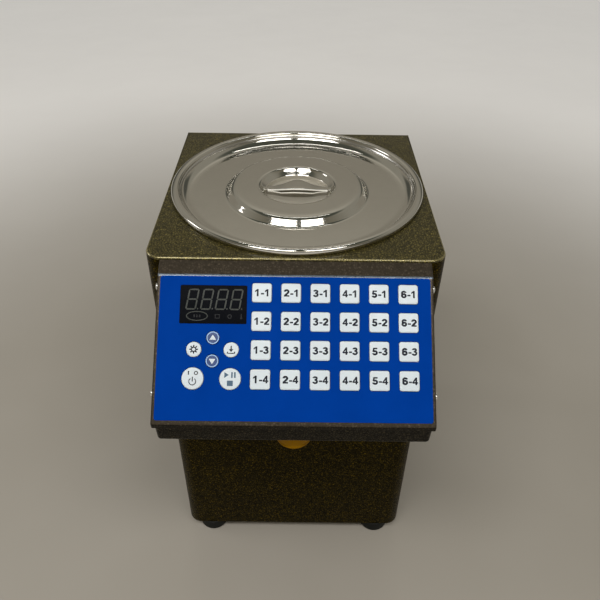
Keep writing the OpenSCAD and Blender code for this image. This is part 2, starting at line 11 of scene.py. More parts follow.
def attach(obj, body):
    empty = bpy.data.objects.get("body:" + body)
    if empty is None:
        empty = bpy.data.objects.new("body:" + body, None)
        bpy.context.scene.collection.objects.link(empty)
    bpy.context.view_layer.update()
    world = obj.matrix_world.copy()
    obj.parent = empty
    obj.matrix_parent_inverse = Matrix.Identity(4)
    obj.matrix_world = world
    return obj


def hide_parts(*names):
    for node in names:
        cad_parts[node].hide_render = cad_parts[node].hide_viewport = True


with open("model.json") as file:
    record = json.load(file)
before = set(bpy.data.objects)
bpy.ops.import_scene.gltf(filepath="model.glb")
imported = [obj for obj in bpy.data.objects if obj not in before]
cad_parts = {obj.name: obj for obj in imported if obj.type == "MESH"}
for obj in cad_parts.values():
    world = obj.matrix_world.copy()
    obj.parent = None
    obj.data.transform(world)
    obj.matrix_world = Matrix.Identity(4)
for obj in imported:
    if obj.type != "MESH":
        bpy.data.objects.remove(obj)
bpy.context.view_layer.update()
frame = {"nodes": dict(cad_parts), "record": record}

# ------------------------------------------------------------------ sizes shared with the frame
Y_MID = 81.85
ZT = 430.5          # deck
ZB = 16.0           # lower edge of the cabinet
HW = 135.0
BODY_D = 270.0
SHEET = 1.2
HEAD_W = 241.0
FACE_LEN = 128.8
SLOPE = radians(42.1)
PB = Vector((-108.5, ZT - 95.3))
FV = Vector((cos(SLOPE), sin(SLOPE)))
FN = Vector((-sin(SLOPE), cos(SLOPE)))
PT = PB + FV * FACE_LEN
PA = Vector((-0.2, ZT - 2))
PC = PB + Vector((0.6, -4.7))
HEAD_DROP = 122.5
POT_Y = 135.0
POT_R = 120.2
POT_DEPTH = 199.5
NOZ_Y = -76.0
KEY_S = 16.8
GAP = 0.4
ROUND_KEYS = [
    ("up_key", -70.2, 54.9, 5.6),
    ("down_key", -70.2, 74.7, 5.6),
    ("set_key", -86.2, 65.0, 6.4),
    ("save_key", -54.2, 65.0, 6.4),
    ("power_key", -86.3, 89.7, 9.3),
    ("stop_key", -54.4, 89.8, 9.1),
]
WIN_U, WIN_V, WIN_W, WIN_H = -70.7, FACE_LEN - 25.9, 58.0, 33.8


def dose_uv(c, r):
    return -29.0 + (c - 1) * 25.4, FACE_LEN - 15.2 - (r - 1) * 24.9


def home(p):
    """Front-plane millimetres to the row frame in metres."""
    return (p[0] / 1000, (p[1] - Y_MID) / 1000, p[2] / 1000)


def on_face(p):
    """(across, up the slope, out of the face) to the front-plane frame."""
    u, v, w = p
    q = PB + FV * v + FN * w
    return (u, q.x, q.y)


# ------------------------------------------------------------------ mesh tools
class Shape:
    def __init__(self):
        self.v, self.f, self.m, self.mat = [], [], [], 0

    def pts(self, pts):
        i = len(self.v)
        self.v.extend(tuple(p) for p in pts)
        return list(range(i, len(self.v)))

    def face(self, ids):
        self.f.append(tuple(ids))
        self.m.append(self.mat)

    def strip(self, a, b, closed=True, skip=()):
        n = len(a)
        for i in range(n if closed else n - 1):
            if i in skip:
                continue
            j = (i + 1) % n
            self.face((a[i], a[j], b[j], b[i]))

    def loft(self, loops, closed=True):
        ids = [self.pts(l) for l in loops]
        for a, b in zip(ids, ids[1:]):
            self.strip(a, b, closed)
        return ids

    def fill(self, loops):
        """Planar fill of index loops: the outside first, then its holes."""
        co = [[Vector(self.v[i]) for i in l] for l in loops]
        flat = [i for l in loops for i in l]
        for t in tessellate_polygon(co):
            if len(set(flat[k] for k in t)) == 3:
                self.face([flat[k] for k in t])

    def add(self, other, xf=lambda p: p):
        i = len(self.v)
        self.v.extend(tuple(xf(p)) for p in other.v)
        self.f.extend(tuple(k + i for k in f) for f in other.f)
        self.m.extend(other.m)


BODY_OF = {}
for b, members in frame["record"]["behaviour"]["bodies"].items():
    for n in members:
        BODY_OF[n] = b


def build(name, shape, mats, node=None, body=None, angle=33, weighted=True, xf=home):
    me = bpy.data.meshes.new(name)
    me.from_pydata([xf(p) for p in shape.v], [], shape.f)
    if not isinstance(mats, (list, tuple)):
        mats = [mats]
    for m in mats:
        me.materials.append(m)
    me.polygons.foreach_set("material_index", shape.m)
    bm = bmesh.new()
    bm.from_mesh(me)
    bmesh.ops.remove_doubles(bm, verts=bm.verts, dist=2e-6)
    bmesh.ops.dissolve_degenerate(bm, edges=bm.edges, dist=1e-6)
    bmesh.ops.recalc_face_normals(bm, faces=bm.faces)
    bm.to_mesh(me)
    bm.free()
    me.shade_smooth()
    me.set_sharp_from_angle(angle=radians(angle))
    o = bpy.data.objects.new(name, me)
    bpy.context.scene.collection.objects.link(o)
    if weighted:
        w = o.modifiers.new("normals", "WEIGHTED_NORMAL")
        w.mode = "FACE_AREA"
        w.weight = 100
        w.keep_sharp = True
    nodes = [node] if isinstance(node, str) else list(node or [])
    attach(o, body or BODY_OF[nodes[0]])
    if nodes:
        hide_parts(*nodes)
    return o


def fillet(pts, radii, closed=True, seg=6):
    """Corner points with a radius each to (points, outward offsets) of a rounded path. The solid lies to the left."""
    n = len(pts)
    P = [Vector(p) for p in pts]
    out, off = [], []
    for i in range(n):
        p = P[i]
        if not closed and i in (0, n - 1):
            d = (P[1] - P[0]) if i == 0 else (P[-1] - P[-2])
            d.normalize()
            out.append(p.copy())
            off.append(Vector((d.y, -d.x)))
            continue
        a, b = P[i - 1], P[(i + 1) % n]
        d1, d2 = (p - a).normalized(), (b - p).normalized()
        n1, n2 = Vector((d1.y, -d1.x)), Vector((d2.y, -d2.x))
        turn = math.atan2(d1.x * d2.y - d1.y * d2.x, d1.dot(d2))
        r = radii[i] if isinstance(radii, (list, tuple)) else radii
        if r <= 0 or abs(turn) < 1e-4:
            o = (n1 + n2) / (1 + n1.dot(n2))
            out.append(p.copy())
            off.append(o)
            continue
        t = r * math.tan(abs(turn) / 2)
        s = 1 if turn > 0 else -1
        start = p - d1 * t
        centre = start - n1 * r * s
        m = max(2, int(round(seg * abs(turn) / (pi / 2))))
        for k in range(m + 1):
            ang = turn * k / m
            c, q = cos(ang), sin(ang)
            nn = Vector((n1.x * c - n1.y * q, n1.x * q + n1.y * c))
            out.append(centre + nn * r * s)
            off.append(nn)
    return out, off


def contour(pts, radii=0, seg=6):
    """A closed outline that c(k) moves inward by k."""
    area = sum(pts[i - 1][0] * pts[i][1] - pts[i][0] * pts[i - 1][1] for i in range(len(pts)))
    if area < 0:
        pts = pts[::-1]
        if isinstance(radii, (list, tuple)):
            radii = radii[::-1]
    p, o = fillet(pts, radii, True, seg)
    return lambda k: [(a.x - b.x * k, a.y - b.y * k) for a, b in zip(p, o)]


def rr(cx, cy, w, h, r, seg=6):
    x, y = w / 2, h / 2
    return contour([(cx - x, cy - y), (cx + x, cy - y), (cx + x, cy + y), (cx - x, cy + y)], r, seg)


def circ(cx, cy, r, seg=48, a0=0.0):
    return lambda k: [(cx + (r - k) * cos(a0 + 2 * pi * i / seg), cy + (r - k) * sin(a0 + 2 * pi * i / seg)) for i in range(seg)]


def edge_rings(z0, z1, r0, r1, n=3):
    out = []
    for i in range(n + 1 if r0 > 0 else 1):
        a = pi / 2 * (i / n if r0 > 0 else 1)
        out.append((r0 * (1 - sin(a)), z0 + r0 * (1 - cos(a))))
    for i in range(n + 1 if r1 > 0 else 1):
        a = pi / 2 * (i / n if r1 > 0 else 0)
        out.append((r1 * (1 - cos(a)), z1 - r1 * (1 - sin(a))))
    return out


def plate(s, outer, holes, z0, z1, r0=0.3, r1=0.3, xf=lambda p: p, n=3, hr0=None, hr1=None):
    """A flat piece with rounded edges: r0 at z0 and r1 at z1."""
    bot, top = [], []
    for i, c in enumerate([outer] + list(holes)):
        sign = 1 if i == 0 else -1
        a = r0 if i == 0 or hr0 is None else hr0
        b = r1 if i == 0 or hr1 is None else hr1
        ids = s.loft([[xf((x, y, z)) for x, y in c(k * sign)] for k, z in edge_rings(z0, z1, a, b, n)])
        bot.append(ids[0])
        top.append(ids[-1])
    s.fill(bot)
    s.fill(top)
    return s


def lathe(s, prof, c=(0, 0, 0), seg=128, closed=False, xf=None, a0=0.0):
    """Turns a profile of (radius, height) round an upright axis through c. A radius of 0 makes a pole."""
    rings = []
    xf = xf or (lambda p: p)
    for r, z in prof:
        if r < 1e-6:
            rings.append(s.pts([xf((c[0], c[1], c[2] + z))]))
        else:
            rings.append(s.pts([xf((c[0] + r * cos(a0 + 2 * pi * i / seg), c[1] + r * sin(a0 + 2 * pi * i / seg), c[2] + z)) for i in range(seg)]))
    pairs = list(zip(rings, rings[1:])) + ([(rings[-1], rings[0])] if closed else [])
    for a, b in pairs:
        if len(a) == 1 and len(b) == 1:
            continue
        if len(a) == 1 or len(b) == 1:
            p, q = (a, b) if len(a) == 1 else (b, a)
            for i in range(seg):
                s.face((p[0], q[i], q[(i + 1) % seg]))
        else:
            s.strip(a, b)
    return rings


def smooth_path(pts, per=4, keep=2.0):
    """A curve through the points that stays straight along the long stretches."""
    P = [Vector(pts[0])]
    for a, b in zip(pts, pts[1:]):
        a, b = Vector(a), Vector(b)
        L = (b - a).length
        if L > 3 * keep:
            P += [a + (b - a) * (keep / L), b - (b - a) * (keep / L)]
        P.append(b)
    out = [P[0].copy()]
    for i in range(len(P) - 1):
        p0 = P[i - 1] if i else P[0] * 2 - P[1]
        p1, p2 = P[i], P[i + 1]
        p3 = P[i + 2] if i + 2 < len(P) else P[-1] * 2 - P[-2]
        t0 = 0.0
        t1 = t0 + max(1e-6, (p1 - p0).length) ** 0.5
        t2 = t1 + max(1e-6, (p2 - p1).length) ** 0.5
        t3 = t2 + max(1e-6, (p3 - p2).length) ** 0.5
        m = per if (p2 - p1).length < 3 * keep else 1
        for k in range(1, m + 1):
            t = t1 + (t2 - t1) * k / m
            a1 = p0 * ((t1 - t) / (t1 - t0)) + p1 * ((t - t0) / (t1 - t0))
            a2 = p1 * ((t2 - t) / (t2 - t1)) + p2 * ((t - t1) / (t2 - t1))
            a3 = p2 * ((t3 - t) / (t3 - t2)) + p3 * ((t - t2) / (t3 - t2))
            b1 = a1 * ((t2 - t) / (t2 - t0)) + a2 * ((t - t0) / (t2 - t0))
            b2 = a2 * ((t3 - t) / (t3 - t1)) + a3 * ((t - t1) / (t3 - t1))
            out.append(b1 * ((t2 - t) / (t2 - t1)) + b2 * ((t - t1) / (t2 - t1)))
    return [(max(0.0, p.x), p.y) for p in out]


# ------------------------------------------------------------------ printed shapes from distance fields
def seg_d(X, Y, a, b, t):
    """Straight stroke of width t with square ends."""
    ax, ay = a
    L = math.hypot(b[0] - ax, b[1] - ay)
    dx, dy = (b[0] - ax) / L, (b[1] - ay) / L
    u = (X - ax) * dx + (Y - ay) * dy
    v = -(X - ax) * dy + (Y - ay) * dx
    return np.maximum(np.abs(u - L / 2) - L / 2, np.abs(v) - t / 2)


def box_d(X, Y, x0, y0, x1, y1):
    return np.maximum(np.maximum(x0 - X, X - x1), np.maximum(y0 - Y, Y - y1))


def arc_d(X, Y, c, rx, ry, a0, a1, t):
    """Stroke of width t along an ellipse, from a0 down to a1 degrees clockwise."""
    px, py = X - c[0], Y - c[1]
    q = np.hypot(px / rx, py / ry)
    g = np.hypot(px / rx**2, py / ry**2) / np.maximum(q, 1e-6)
    d = np.abs(q - 1) / np.maximum(g, 1e-6) - t / 2
    if a0 - a1 >= 360:
        return d
    mid, half = radians((a0 + a1) / 2), radians((a0 - a1) / 2)
    ang = np.abs((np.arctan2(py / ry, px / rx) - mid + pi) % (2 * pi) - pi)
    return np.maximum(d, (ang - half) * min(rx, ry))


def poly_d(X, Y, pts):
    """A convex polygon, counter-clockwise."""
    d = np.full_like(X, -1e9)
    for i in range(len(pts)):
        (x0, y0), (x1, y1) = pts[i - 1], pts[i]
        L = math.hypot(x1 - x0, y1 - y0)
        d = np.maximum(d, ((X - x0) * (y1 - y0) - (Y - y0) * (x1 - x0)) / L)
    return d


def any_of(*d):
    out = d[0]
    for x in d[1:]:
        out = np.minimum(out, x)
    return out


CASES = {1: [(0, 3)], 2: [(1, 0)], 4: [(2, 1)], 8: [(3, 2)], 3: [(1, 3)], 6: [(2, 0)], 12: [(3, 1)], 9: [(0, 2)], 5: [(0, 3), (2, 1)],
         10: [(1, 0), (3, 2)], 7: [(2, 3)], 11: [(1, 2)], 13: [(0, 1)], 14: [(3, 0)]}


def trace(f, x0, y0, x1, y1, h):
    """Outlines of f < 0 as [(outside, [holes])]."""
    nx, ny = int(math.ceil((x1 - x0) / h)) + 1, int(math.ceil((y1 - y0) / h)) + 1
    gx, gy = x0 + np.arange(nx) * h, y0 + np.arange(ny) * h
    X, Y = np.meshgrid(gx, gy)
    F = f(X, Y)
    F = np.where(np.abs(F) < 1e-7, 1e-7, F)
    ins = F < 0
    nxt, pos = {}, {}
    code = ins[:-1, :-1] * 1 + ins[:-1, 1:] * 2 + ins[1:, 1:] * 4 + ins[1:, :-1] * 8
    for j, i in zip(*np.nonzero((code > 0) & (code < 15))):
        j, i = int(j), int(i)
        ed = [("h", j, i), ("v", j, i + 1), ("h", j + 1, i), ("v", j, i)]
        for a, b in CASES[int(code[j, i])]:
            nxt[ed[a]] = ed[b]
            for e in (ed[a], ed[b]):
                if e not in pos:
                    k, jj, ii = e
                    f0 = F[jj, ii]
                    f1 = F[jj, ii + 1] if k == "h" else F[jj + 1, ii]
                    t = f0 / (f0 - f1)
                    pos[e] = (gx[ii] + (h * t if k == "h" else 0), gy[jj] + (h * t if k == "v" else 0))
    loops = []
    while nxt:
        e, loop = next(iter(nxt)), []
        while e in nxt:
            loop.append(pos[e])
            e = nxt.pop(e)
        loop = thin(loop, h * h * 0.045)
        if len(loop) > 2:
            loops.append(loop)
    area = lambda l: sum(l[i - 1][0] * l[i][1] - l[i][0] * l[i - 1][1] for i in range(len(l))) / 2
    outs = [(l, []) for l in loops if area(l) > 0]
    for l in loops:
        if area(l) < 0:
            inside = [o for o in outs if within(l[0], o[0])]
            min(inside, key=lambda o: area(o[0]))[1].append(l)
    return outs


def within(p, loop):
    c = False
    for i in range(len(loop)):
        (x0, y0), (x1, y1) = loop[i - 1], loop[i]
        if (y0 > p[1]) != (y1 > p[1]) and p[0] < (x1 - x0) * (p[1] - y0) / (y1 - y0) + x0:
            c = not c
    return c


def thin(loop, tol):
    """Drops points that hardly bend the outline."""
    pts = list(loop)
    moved = True
    while moved and len(pts) > 6:
        moved, keep, i, n = False, [], 0, len(pts)
        while i < n:
            a, b, c = keep[-1] if keep else pts[-1], pts[i], pts[(i + 1) % n]
            if abs((b[0] - a[0]) * (c[1] - a[1]) - (b[1] - a[1]) * (c[0] - a[0])) / 2 < tol and i % 2:
                moved = True
            else:
                keep.append(b)
            i += 1
        pts = keep
    return pts


def printed(s, outs, z0, z1, xf, dx=0.0, dy=0.0, k=1.0, slant=0.0, wide=1.0):
    """A thin closed solid in the shape of traced outlines."""
    for out, holes in outs:
        low, high = [], []
        for l in [out] + holes:
            q = [(x * k * wide + slant * y * k + dx, y * k + dy) for x, y in l]
            ids = s.loft([[xf((x, y, z0)) for x, y in q], [xf((x, y, z1)) for x, y in q]])
            low.append(ids[0])
            high.append(ids[1])
        s.fill(low)
        s.fill(high)


def make_digits():
    t = 0.26
    g = {
        "1": lambda X, Y: any_of(box_d(X, Y, 0.285, 0, 0.505, 1), poly_d(X, Y, [(0.055, 0.57), (0.44, 0.80), (0.44, 1.0), (0.33, 1.0), (0.055, 0.77)])),
        "2": lambda X, Y: any_of(arc_d(X, Y, (0.35, 0.68), 0.225, 0.212, 178, -38, t), seg_d(X, Y, (0.545, 0.57), (0.13, 0.12), t), box_d(X, Y, 0.025, 0, 0.685, 0.20)),
        "3": lambda X, Y: any_of(arc_d(X, Y, (0.335, 0.735), 0.20, 0.16, 172, -95, t - 0.02), arc_d(X, Y, (0.335, 0.305), 0.235, 0.205, 97, -172, t - 0.015), box_d(X, Y, 0.24, 0.45, 0.35, 0.62)),
        "4": lambda X, Y: any_of(box_d(X, Y, 0.385, 0, 0.60, 1), box_d(X, Y, 0.02, 0.195, 0.71, 0.385), np.maximum(seg_d(X, Y, (0.055, 0.26), (0.52, 1.0), 0.175), Y - 1)),
        "5": lambda X, Y: any_of(box_d(X, Y, 0.13, 0.805, 0.65, 1), np.maximum(seg_d(X, Y, (0.235, 1.05), (0.14, 0.44), 0.20), Y - 1), arc_d(X, Y, (0.345, 0.32), 0.235, 0.222, 148, -168, t)),
        "6": lambda X, Y: any_of(arc_d(X, Y, (0.365, 0.325), 0.23, 0.218, 360, 0, t), box_d(X, Y, 0.0275, 0.30, 0.2425, 0.66), arc_d(X, Y, (0.365, 0.65), 0.23, 0.242, 181, 18, t)),
        "-": lambda X, Y: box_d(X, Y, 0.04, 0.255, 0.425, 0.465),
    }
    return {k: trace(f, -0.08, -0.05, 0.85, 1.06, 0.0125) for k, f in g.items()}


DIGITS = make_digits()


# ------------------------------------------------------------------ materials
class Mat:
    def __init__(self, name, **sock):
        self.m = bpy.data.materials.new(name)
        self.m.use_nodes = True
        self.t = self.m.node_tree
        self.b = self.t.nodes["Principled BSDF"]
        self.co = self.node("ShaderNodeTexCoord").outputs["Object"]
        for k, v in sock.items():
            self.b.inputs[k.replace("_", " ")].default_value = (*v, 1) if isinstance(v, tuple) and len(v) == 3 and "Radius" not in k else v

    def put(self, sock, v):
        if isinstance(v, bpy.types.NodeSocket):
            self.t.links.new(v, sock)
        elif sock.type == "RGBA" and len(v) == 3:
            sock.default_value = (*v, 1)
        else:
            sock.default_value = v

    def node(self, kind, ins=None, **props):
        n = self.t.nodes.new(kind)
        for k, v in props.items():
            setattr(n, k, v)
        for k, v in (ins or {}).items():
            self.put(n.inputs[k], v)
        return n

    def set(self, name, v):
        self.put(self.b.inputs[name], v)
        return self

    def move(self, scale, vec=None, rot=(0, 0, 0)):
        return self.node("ShaderNodeMapping", {"Vector": vec or self.co, "Scale": scale, "Rotation": rot}).outputs["Vector"]

    def noise(self, scale, detail=3.0, rough=0.5, vec=None, warp=0.0):
        return self.node("ShaderNodeTexNoise", {"Vector": vec or self.co, "Scale": scale, "Detail": detail, "Roughness": rough, "Distortion": warp}).outputs["Fac"]

    def cells(self, scale, feature="F1", vec=None, rand=1.0, out="Distance", smooth=0.0):
        n = self.node("ShaderNodeTexVoronoi", feature=feature)
        self.put(n.inputs["Vector"], vec or self.co)
        n.inputs["Scale"].default_value = scale
        n.inputs["Randomness"].default_value = rand
        if feature == "SMOOTH_F1":
            n.inputs["Smoothness"].default_value = smooth
        return n.outputs[out]

    def fit(self, v, a, b, c, d, kind="LINEAR"):
        return self.node("ShaderNodeMapRange", {"Value": v, "From Min": a, "From Max": b, "To Min": c, "To Max": d}, interpolation_type=kind).outputs["Result"]

    def math(self, op, a, b=0.0):
        n = self.node("ShaderNodeMath", operation=op)
        self.put(n.inputs[0], a)
        self.put(n.inputs[1], b)
        return n.outputs[0]

    def mix(self, fac, a, b, kind="MIX"):
        n = self.node("ShaderNodeMix", data_type="RGBA", blend_type=kind)
        self.put(n.inputs[0], fac)
        self.put(n.inputs[6], a)
        self.put(n.inputs[7], b)
        return n.outputs[2]

    def bump(self, height, strength=0.3, distance=0.001, normal=None):
        n = self.node("ShaderNodeBump", {"Height": height, "Strength": strength, "Distance": distance})
        if normal:
            self.put(n.inputs["Normal"], normal)
        return n.outputs["Normal"]

    def xyz(self, vec=None):
        return self.node("ShaderNodeSeparateXYZ", {"Vector": vec or self.co}).outputs


def hammertone(name, dark, mid, gold, rough=(0.28, 0.44), metal=0.45, bump=0.5, spec=0.35, coat=0.0, flecks=0.85):
    """Hammered enamel: small domed cells of bronze with darker joints between them and brighter flecks."""
    a = Mat(name)
    warp = a.node("ShaderNodeTexNoise", {"Vector": a.co, "Scale": 260.0, "Detail": 2.0})
    vec = a.node("ShaderNodeMix", {0: 0.0016, 4: a.co, 5: warp.outputs["Color"]}, data_type="VECTOR").outputs[1]
    edge = a.cells(470, "DISTANCE_TO_EDGE", vec)
    col = a.cells(470, "F1", vec, out="Color")
    rnd = a.xyz(col)
    cell = a.fit(edge, 0.02, 0.30, 0.0, 1.0, "SMOOTHSTEP")
    big = a.noise(22, 3, 0.6)
    fine = a.noise(1500, 2, 0.6)
    tone = a.fit(rnd[0], 0.0, 1.0, 0.45, 1.25)
    body = a.mix(a.fit(rnd[1], 0.72, 0.98, 0.0, flecks), mid, gold)
    body = a.mix(a.fit(fine, 0.3, 0.75, 0.0, 0.45), body, tuple(c * 0.55 for c in mid))
    body = a.mix(1.0, body, a.node("ShaderNodeCombineColor", {0: tone, 1: tone, 2: tone}).outputs[0], "MULTIPLY")
    base = a.mix(cell, dark, body)
    base = a.mix(a.fit(big, 0.35, 0.7, 0.0, 0.25), base, dark)
    a.set("Base Color", base)
    a.b.inputs["Metallic"].default_value = metal
    a.set("Roughness", a.math("ADD", a.fit(cell, 0, 1, rough[1], rough[0]), a.fit(fine, 0.3, 0.7, -0.03, 0.05)))
    a.b.inputs["Specular IOR Level"].default_value = spec
    a.b.inputs["Coat Weight"].default_value = coat
    a.b.inputs["Coat Roughness"].default_value = 0.10
    dome = a.math("ADD", a.fit(edge, 0.0, 0.42, 0.0, 1.0, "SMOOTHSTEP"), a.math("MULTIPLY", rnd[2], 0.35))
    a.set("Normal", a.bump(dome, bump, 0.00030))
    return a.m


def steel(name, tint=(0.60, 0.585, 0.55), rough=0.07, wave=0.05, smudge=0.05, grain=0.0, spun=None):
    a = Mat(name, Base_Color=tint, Metallic=1.0)
    s = a.noise(38, 4, 0.62, warp=0.6)
    f = a.noise(600, 2, 0.5)
    a.set("Base Color", a.mix(a.fit(s, 0.35, 0.75, 0.0, 0.5), tint, tuple(c * 0.92 for c in tint)))
    r = a.math("ADD", a.fit(s, 0.45, 0.75, rough, rough + smudge), a.fit(f, 0.35, 0.7, 0.0, smudge * 0.4))
    n = a.bump(a.noise(16, 1, 0.4), wave, 0.004)
    if spun:
        v = a.xyz()
        dx, dy = a.math("SUBTRACT", v[0], spun[0]), a.math("SUBTRACT", v[1], spun[1])
        rad = a.math("SQRT", a.math("ADD", a.math("MULTIPLY", dx, dx), a.math("MULTIPLY", dy, dy)))
        line = a.node("ShaderNodeTexNoise", {"W": rad, "Scale": 2600.0, "Detail": 3.0}, noise_dimensions="1D").outputs["Fac"]
        r = a.math("ADD", r, a.fit(line, 0.35, 0.7, 0.0, 0.035))
        n = a.bump(line, 0.012, 0.0002, n)
    if grain:
        g = a.noise(220, 3, 0.6, vec=a.move((1, 1, 28)))
        r = a.math("ADD", r, a.fit(g, 0.3, 0.7, 0.0, grain))
        n = a.bump(g, 0.12, 0.0002, n)
    a.set("Roughness", r)
    a.set("Normal", n)
    return a.m


def moulded(name, col, rough=0.4, grain=900, bump=0.12, vary=0.12, metal=0.0, coat=0.0, sss=0.0, speck=None, spec=0.5):
    """Moulded plastic, rubber or painted metal with a fine grain, slow tone changes and worn gloss."""
    a = Mat(name, Metallic=metal)
    slow, fine = a.noise(34, 4, 0.6), a.noise(grain, 3, 0.6)
    c = a.mix(a.fit(slow, 0.3, 0.72, 0.0, 1.0), tuple(min(1, x * (1 + vary)) for x in col), tuple(x * (1 - vary) for x in col))
    c = a.mix(a.fit(fine, 0.35, 0.75, 0.0, 0.35), c, tuple(x * (1 - vary * 1.5) for x in col))
    if speck:
        c = a.mix(a.fit(a.cells(speck[1], "F1"), 0.0, 0.16, speck[2], 0.0), c, speck[0])
    a.set("Base Color", c)
    a.set("Roughness", a.math("ADD", a.fit(slow, 0.3, 0.7, rough - 0.05, rough + 0.06), a.fit(fine, 0.3, 0.7, -0.03, 0.04)))
    a.set("Normal", a.bump(fine, bump, 0.0003))
    a.b.inputs["Coat Weight"].default_value = coat
    a.b.inputs["Coat Roughness"].default_value = 0.15
    a.b.inputs["Specular IOR Level"].default_value = spec
    if sss:
        a.b.inputs["Subsurface Weight"].default_value = sss
        a.b.inputs["Subsurface Radius"].default_value = (0.004, 0.003, 0.002)
        a.b.inputs["Subsurface Scale"].default_value = 0.5
    return a.m


M = {}
# lit and shaded copies of the one hammertone: the wrap copy is painted much darker than the lighter deck copy, as
# painted shade on the walls
M["paint"] = hammertone("hammered_bronze", (0.006, 0.0045, 0.0006), (0.074, 0.051, 0.0012), (0.16, 0.105, 0.004), spec=0.025)
M["deck"] = hammertone("hammered_bronze_deck", (0.027, 0.0225, 0.0065), (0.180, 0.148, 0.040), (0.31, 0.25, 0.065), spec=0.2, coat=0.2)
# painted highlight: a much lighter gold copy of the hammertone for the deck's rounded top edge, so the edge shows as a
# bright line
M["fold"] = hammertone("bronze_fold", (0.22, 0.19, 0.08), (0.40, 0.33, 0.14), (0.46, 0.38, 0.17), (0.22, 0.30), 0.7, 0.15, coat=0.8, flecks=0.4)
M["head"] = hammertone("hammered_bronze_head", (0.042, 0.034, 0.024), (0.088, 0.070, 0.050), (0.10, 0.080, 0.056), spec=0.08, coat=0.05, bump=0.2, flecks=0.3)
# painted highlight: a pale bluish copy of the hammertone for the outer face of the cover's upper bend
M["bend"] = hammertone("bright_bend", (0.08, 0.10, 0.125), (0.13, 0.165, 0.215), (0.15, 0.19, 0.25), (0.24, 0.30), 0.4, 0.15, coat=0.3, flecks=0.3)
# painted shade: a darker copy of the face cover's hammertone for its lower bend and return, which face down
M["lip"] = hammertone("hammered_bronze_lip", (0.008, 0.0065, 0.004), (0.044, 0.035, 0.022), (0.06, 0.047, 0.028), spec=0.06, coat=0.05, bump=0.3, flecks=0.4)
# painted shade: a darker copy for the head box under the face
M["box"] = hammertone("hammered_bronze_box", (0.006, 0.005, 0.003), (0.042, 0.034, 0.020), (0.08, 0.064, 0.032), spec=0.06, bump=0.4)
M["lid"] = steel("polished_steel", (0.62, 0.60, 0.55), 0.05, 0.02, 0.025, spun=(0.0, (POT_Y - Y_MID) / 1000))
M["well"] = moulded("satin_steel", (0.50, 0.47, 0.40), 0.42, 900, 0.03, 0.04, metal=0.45, spec=0.5)
# painted highlight: a near-white steel for the bright lines along the strap handle's front edge
M["glint"] = moulded("satin_bright_steel", (0.86, 0.84, 0.78), 0.35, 900, 0.02, 0.03, metal=0.25)
# painted shadow: a dark steel for the strap's gap between its bright lines, its rear edge and the ends of its lines
M["dull"] = steel("dull_steel_edge", (0.17, 0.16, 0.13), 0.28, 0.0, 0.08)
M["pot"] = steel("pot_steel", (0.60, 0.59, 0.57), 0.16, 0.03, 0.08, spun=(0.0, (POT_Y - Y_MID) / 1000))
M["screw"] = steel("nickel_screw", (0.66, 0.65, 0.62), 0.20, 0.0, 0.1)
M["zinc"] = steel("zinc_sheet", (0.50, 0.51, 0.50), 0.34, 0.02, 0.16, grain=0.12)
M["rubber"] = moulded("foot_rubber", (0.008, 0.009, 0.008), 0.62, 700, 0.25, 0.25, spec=0.2)
M["white"] = moulded("key_white", (0.71, 0.79, 0.855), 0.36, 1400, 0.06, 0.025, sss=0.05)
M["slate"] = moulded("slate_ink", (0.055, 0.125, 0.21), 0.42, 1600, 0.05, 0.12)
M["ink"] = moulded("navy_ink", (0.003, 0.006, 0.018), 0.42, 1600, 0.05, 0.15, spec=0.2)
M["blue"] = moulded("overlay_blue", (0.0001, 0.046, 0.335), 0.5, 2600, 0.05, 0.06, spec=0.008)
M["key_blue"] = moulded("key_blue", (0.002, 0.040, 0.20), 0.36, 1600, 0.05, 0.08)
M["ring"] = moulded("pale_blue_ink", (0.36, 0.55, 0.88), 0.42, 1600, 0.05, 0.06)
M["window"] = moulded("smoked_window", (0.0045, 0.0052, 0.0075), 0.22, 300, 0.0, 0.15, spec=0.008)
M["segment"] = moulded("unlit_segment", (0.048, 0.053, 0.048), 0.30, 900, 0.04, 0.12, spec=0.1)
M["faint"] = moulded("faint_mark", (0.012, 0.013, 0.016), 0.30, 900, 0.04, 0.12, spec=0.1)
M["amber"] = moulded("nozzle_amber", (0.29, 0.14, 0.0012), 0.3, 420, 0.05, 0.08, sss=0.03, spec=0.05)
M["mark"] = moulded("white_mark", (0.72, 0.73, 0.72), 0.4, 1400, 0.04, 0.04)
M["blade"] = steel("contact_blade", (0.66, 0.60, 0.46), 0.22, 0.0, 0.08)
M["black"] = moulded("black_plastic", (0.016, 0.016, 0.017), 0.38, 800, 0.16, 0.15)
M["heater"] = moulded("heater_silicone", (0.42, 0.085, 0.022), 0.55, 420, 0.3, 0.12)
M["alloy"] = steel("cast_alloy", (0.52, 0.53, 0.54), 0.38, 0.02, 0.14)
M["gear"] = steel("gear_steel", (0.56, 0.56, 0.54), 0.24, 0.02, 0.1)
M["motor"] = steel("motor_case", (0.42, 0.43, 0.45), 0.36, 0.02, 0.12, grain=0.1)
M["brass"] = steel("thermostat_metal", (0.66, 0.62, 0.52), 0.25, 0.02, 0.12)
M["hose"] = moulded("silicone_hose", (0.62, 0.65, 0.64), 0.42, 260, 0.1, 0.05, sss=0.2)
M["board"] = moulded("board_green", (0.010, 0.085, 0.030), 0.42, 500, 0.12, 0.2, coat=0.2, speck=((0.30, 0.25, 0.08), 260, 0.8))
M["supply"] = steel("supply_case", (0.60, 0.61, 0.60), 0.34, 0.02, 0.14, grain=0.08)

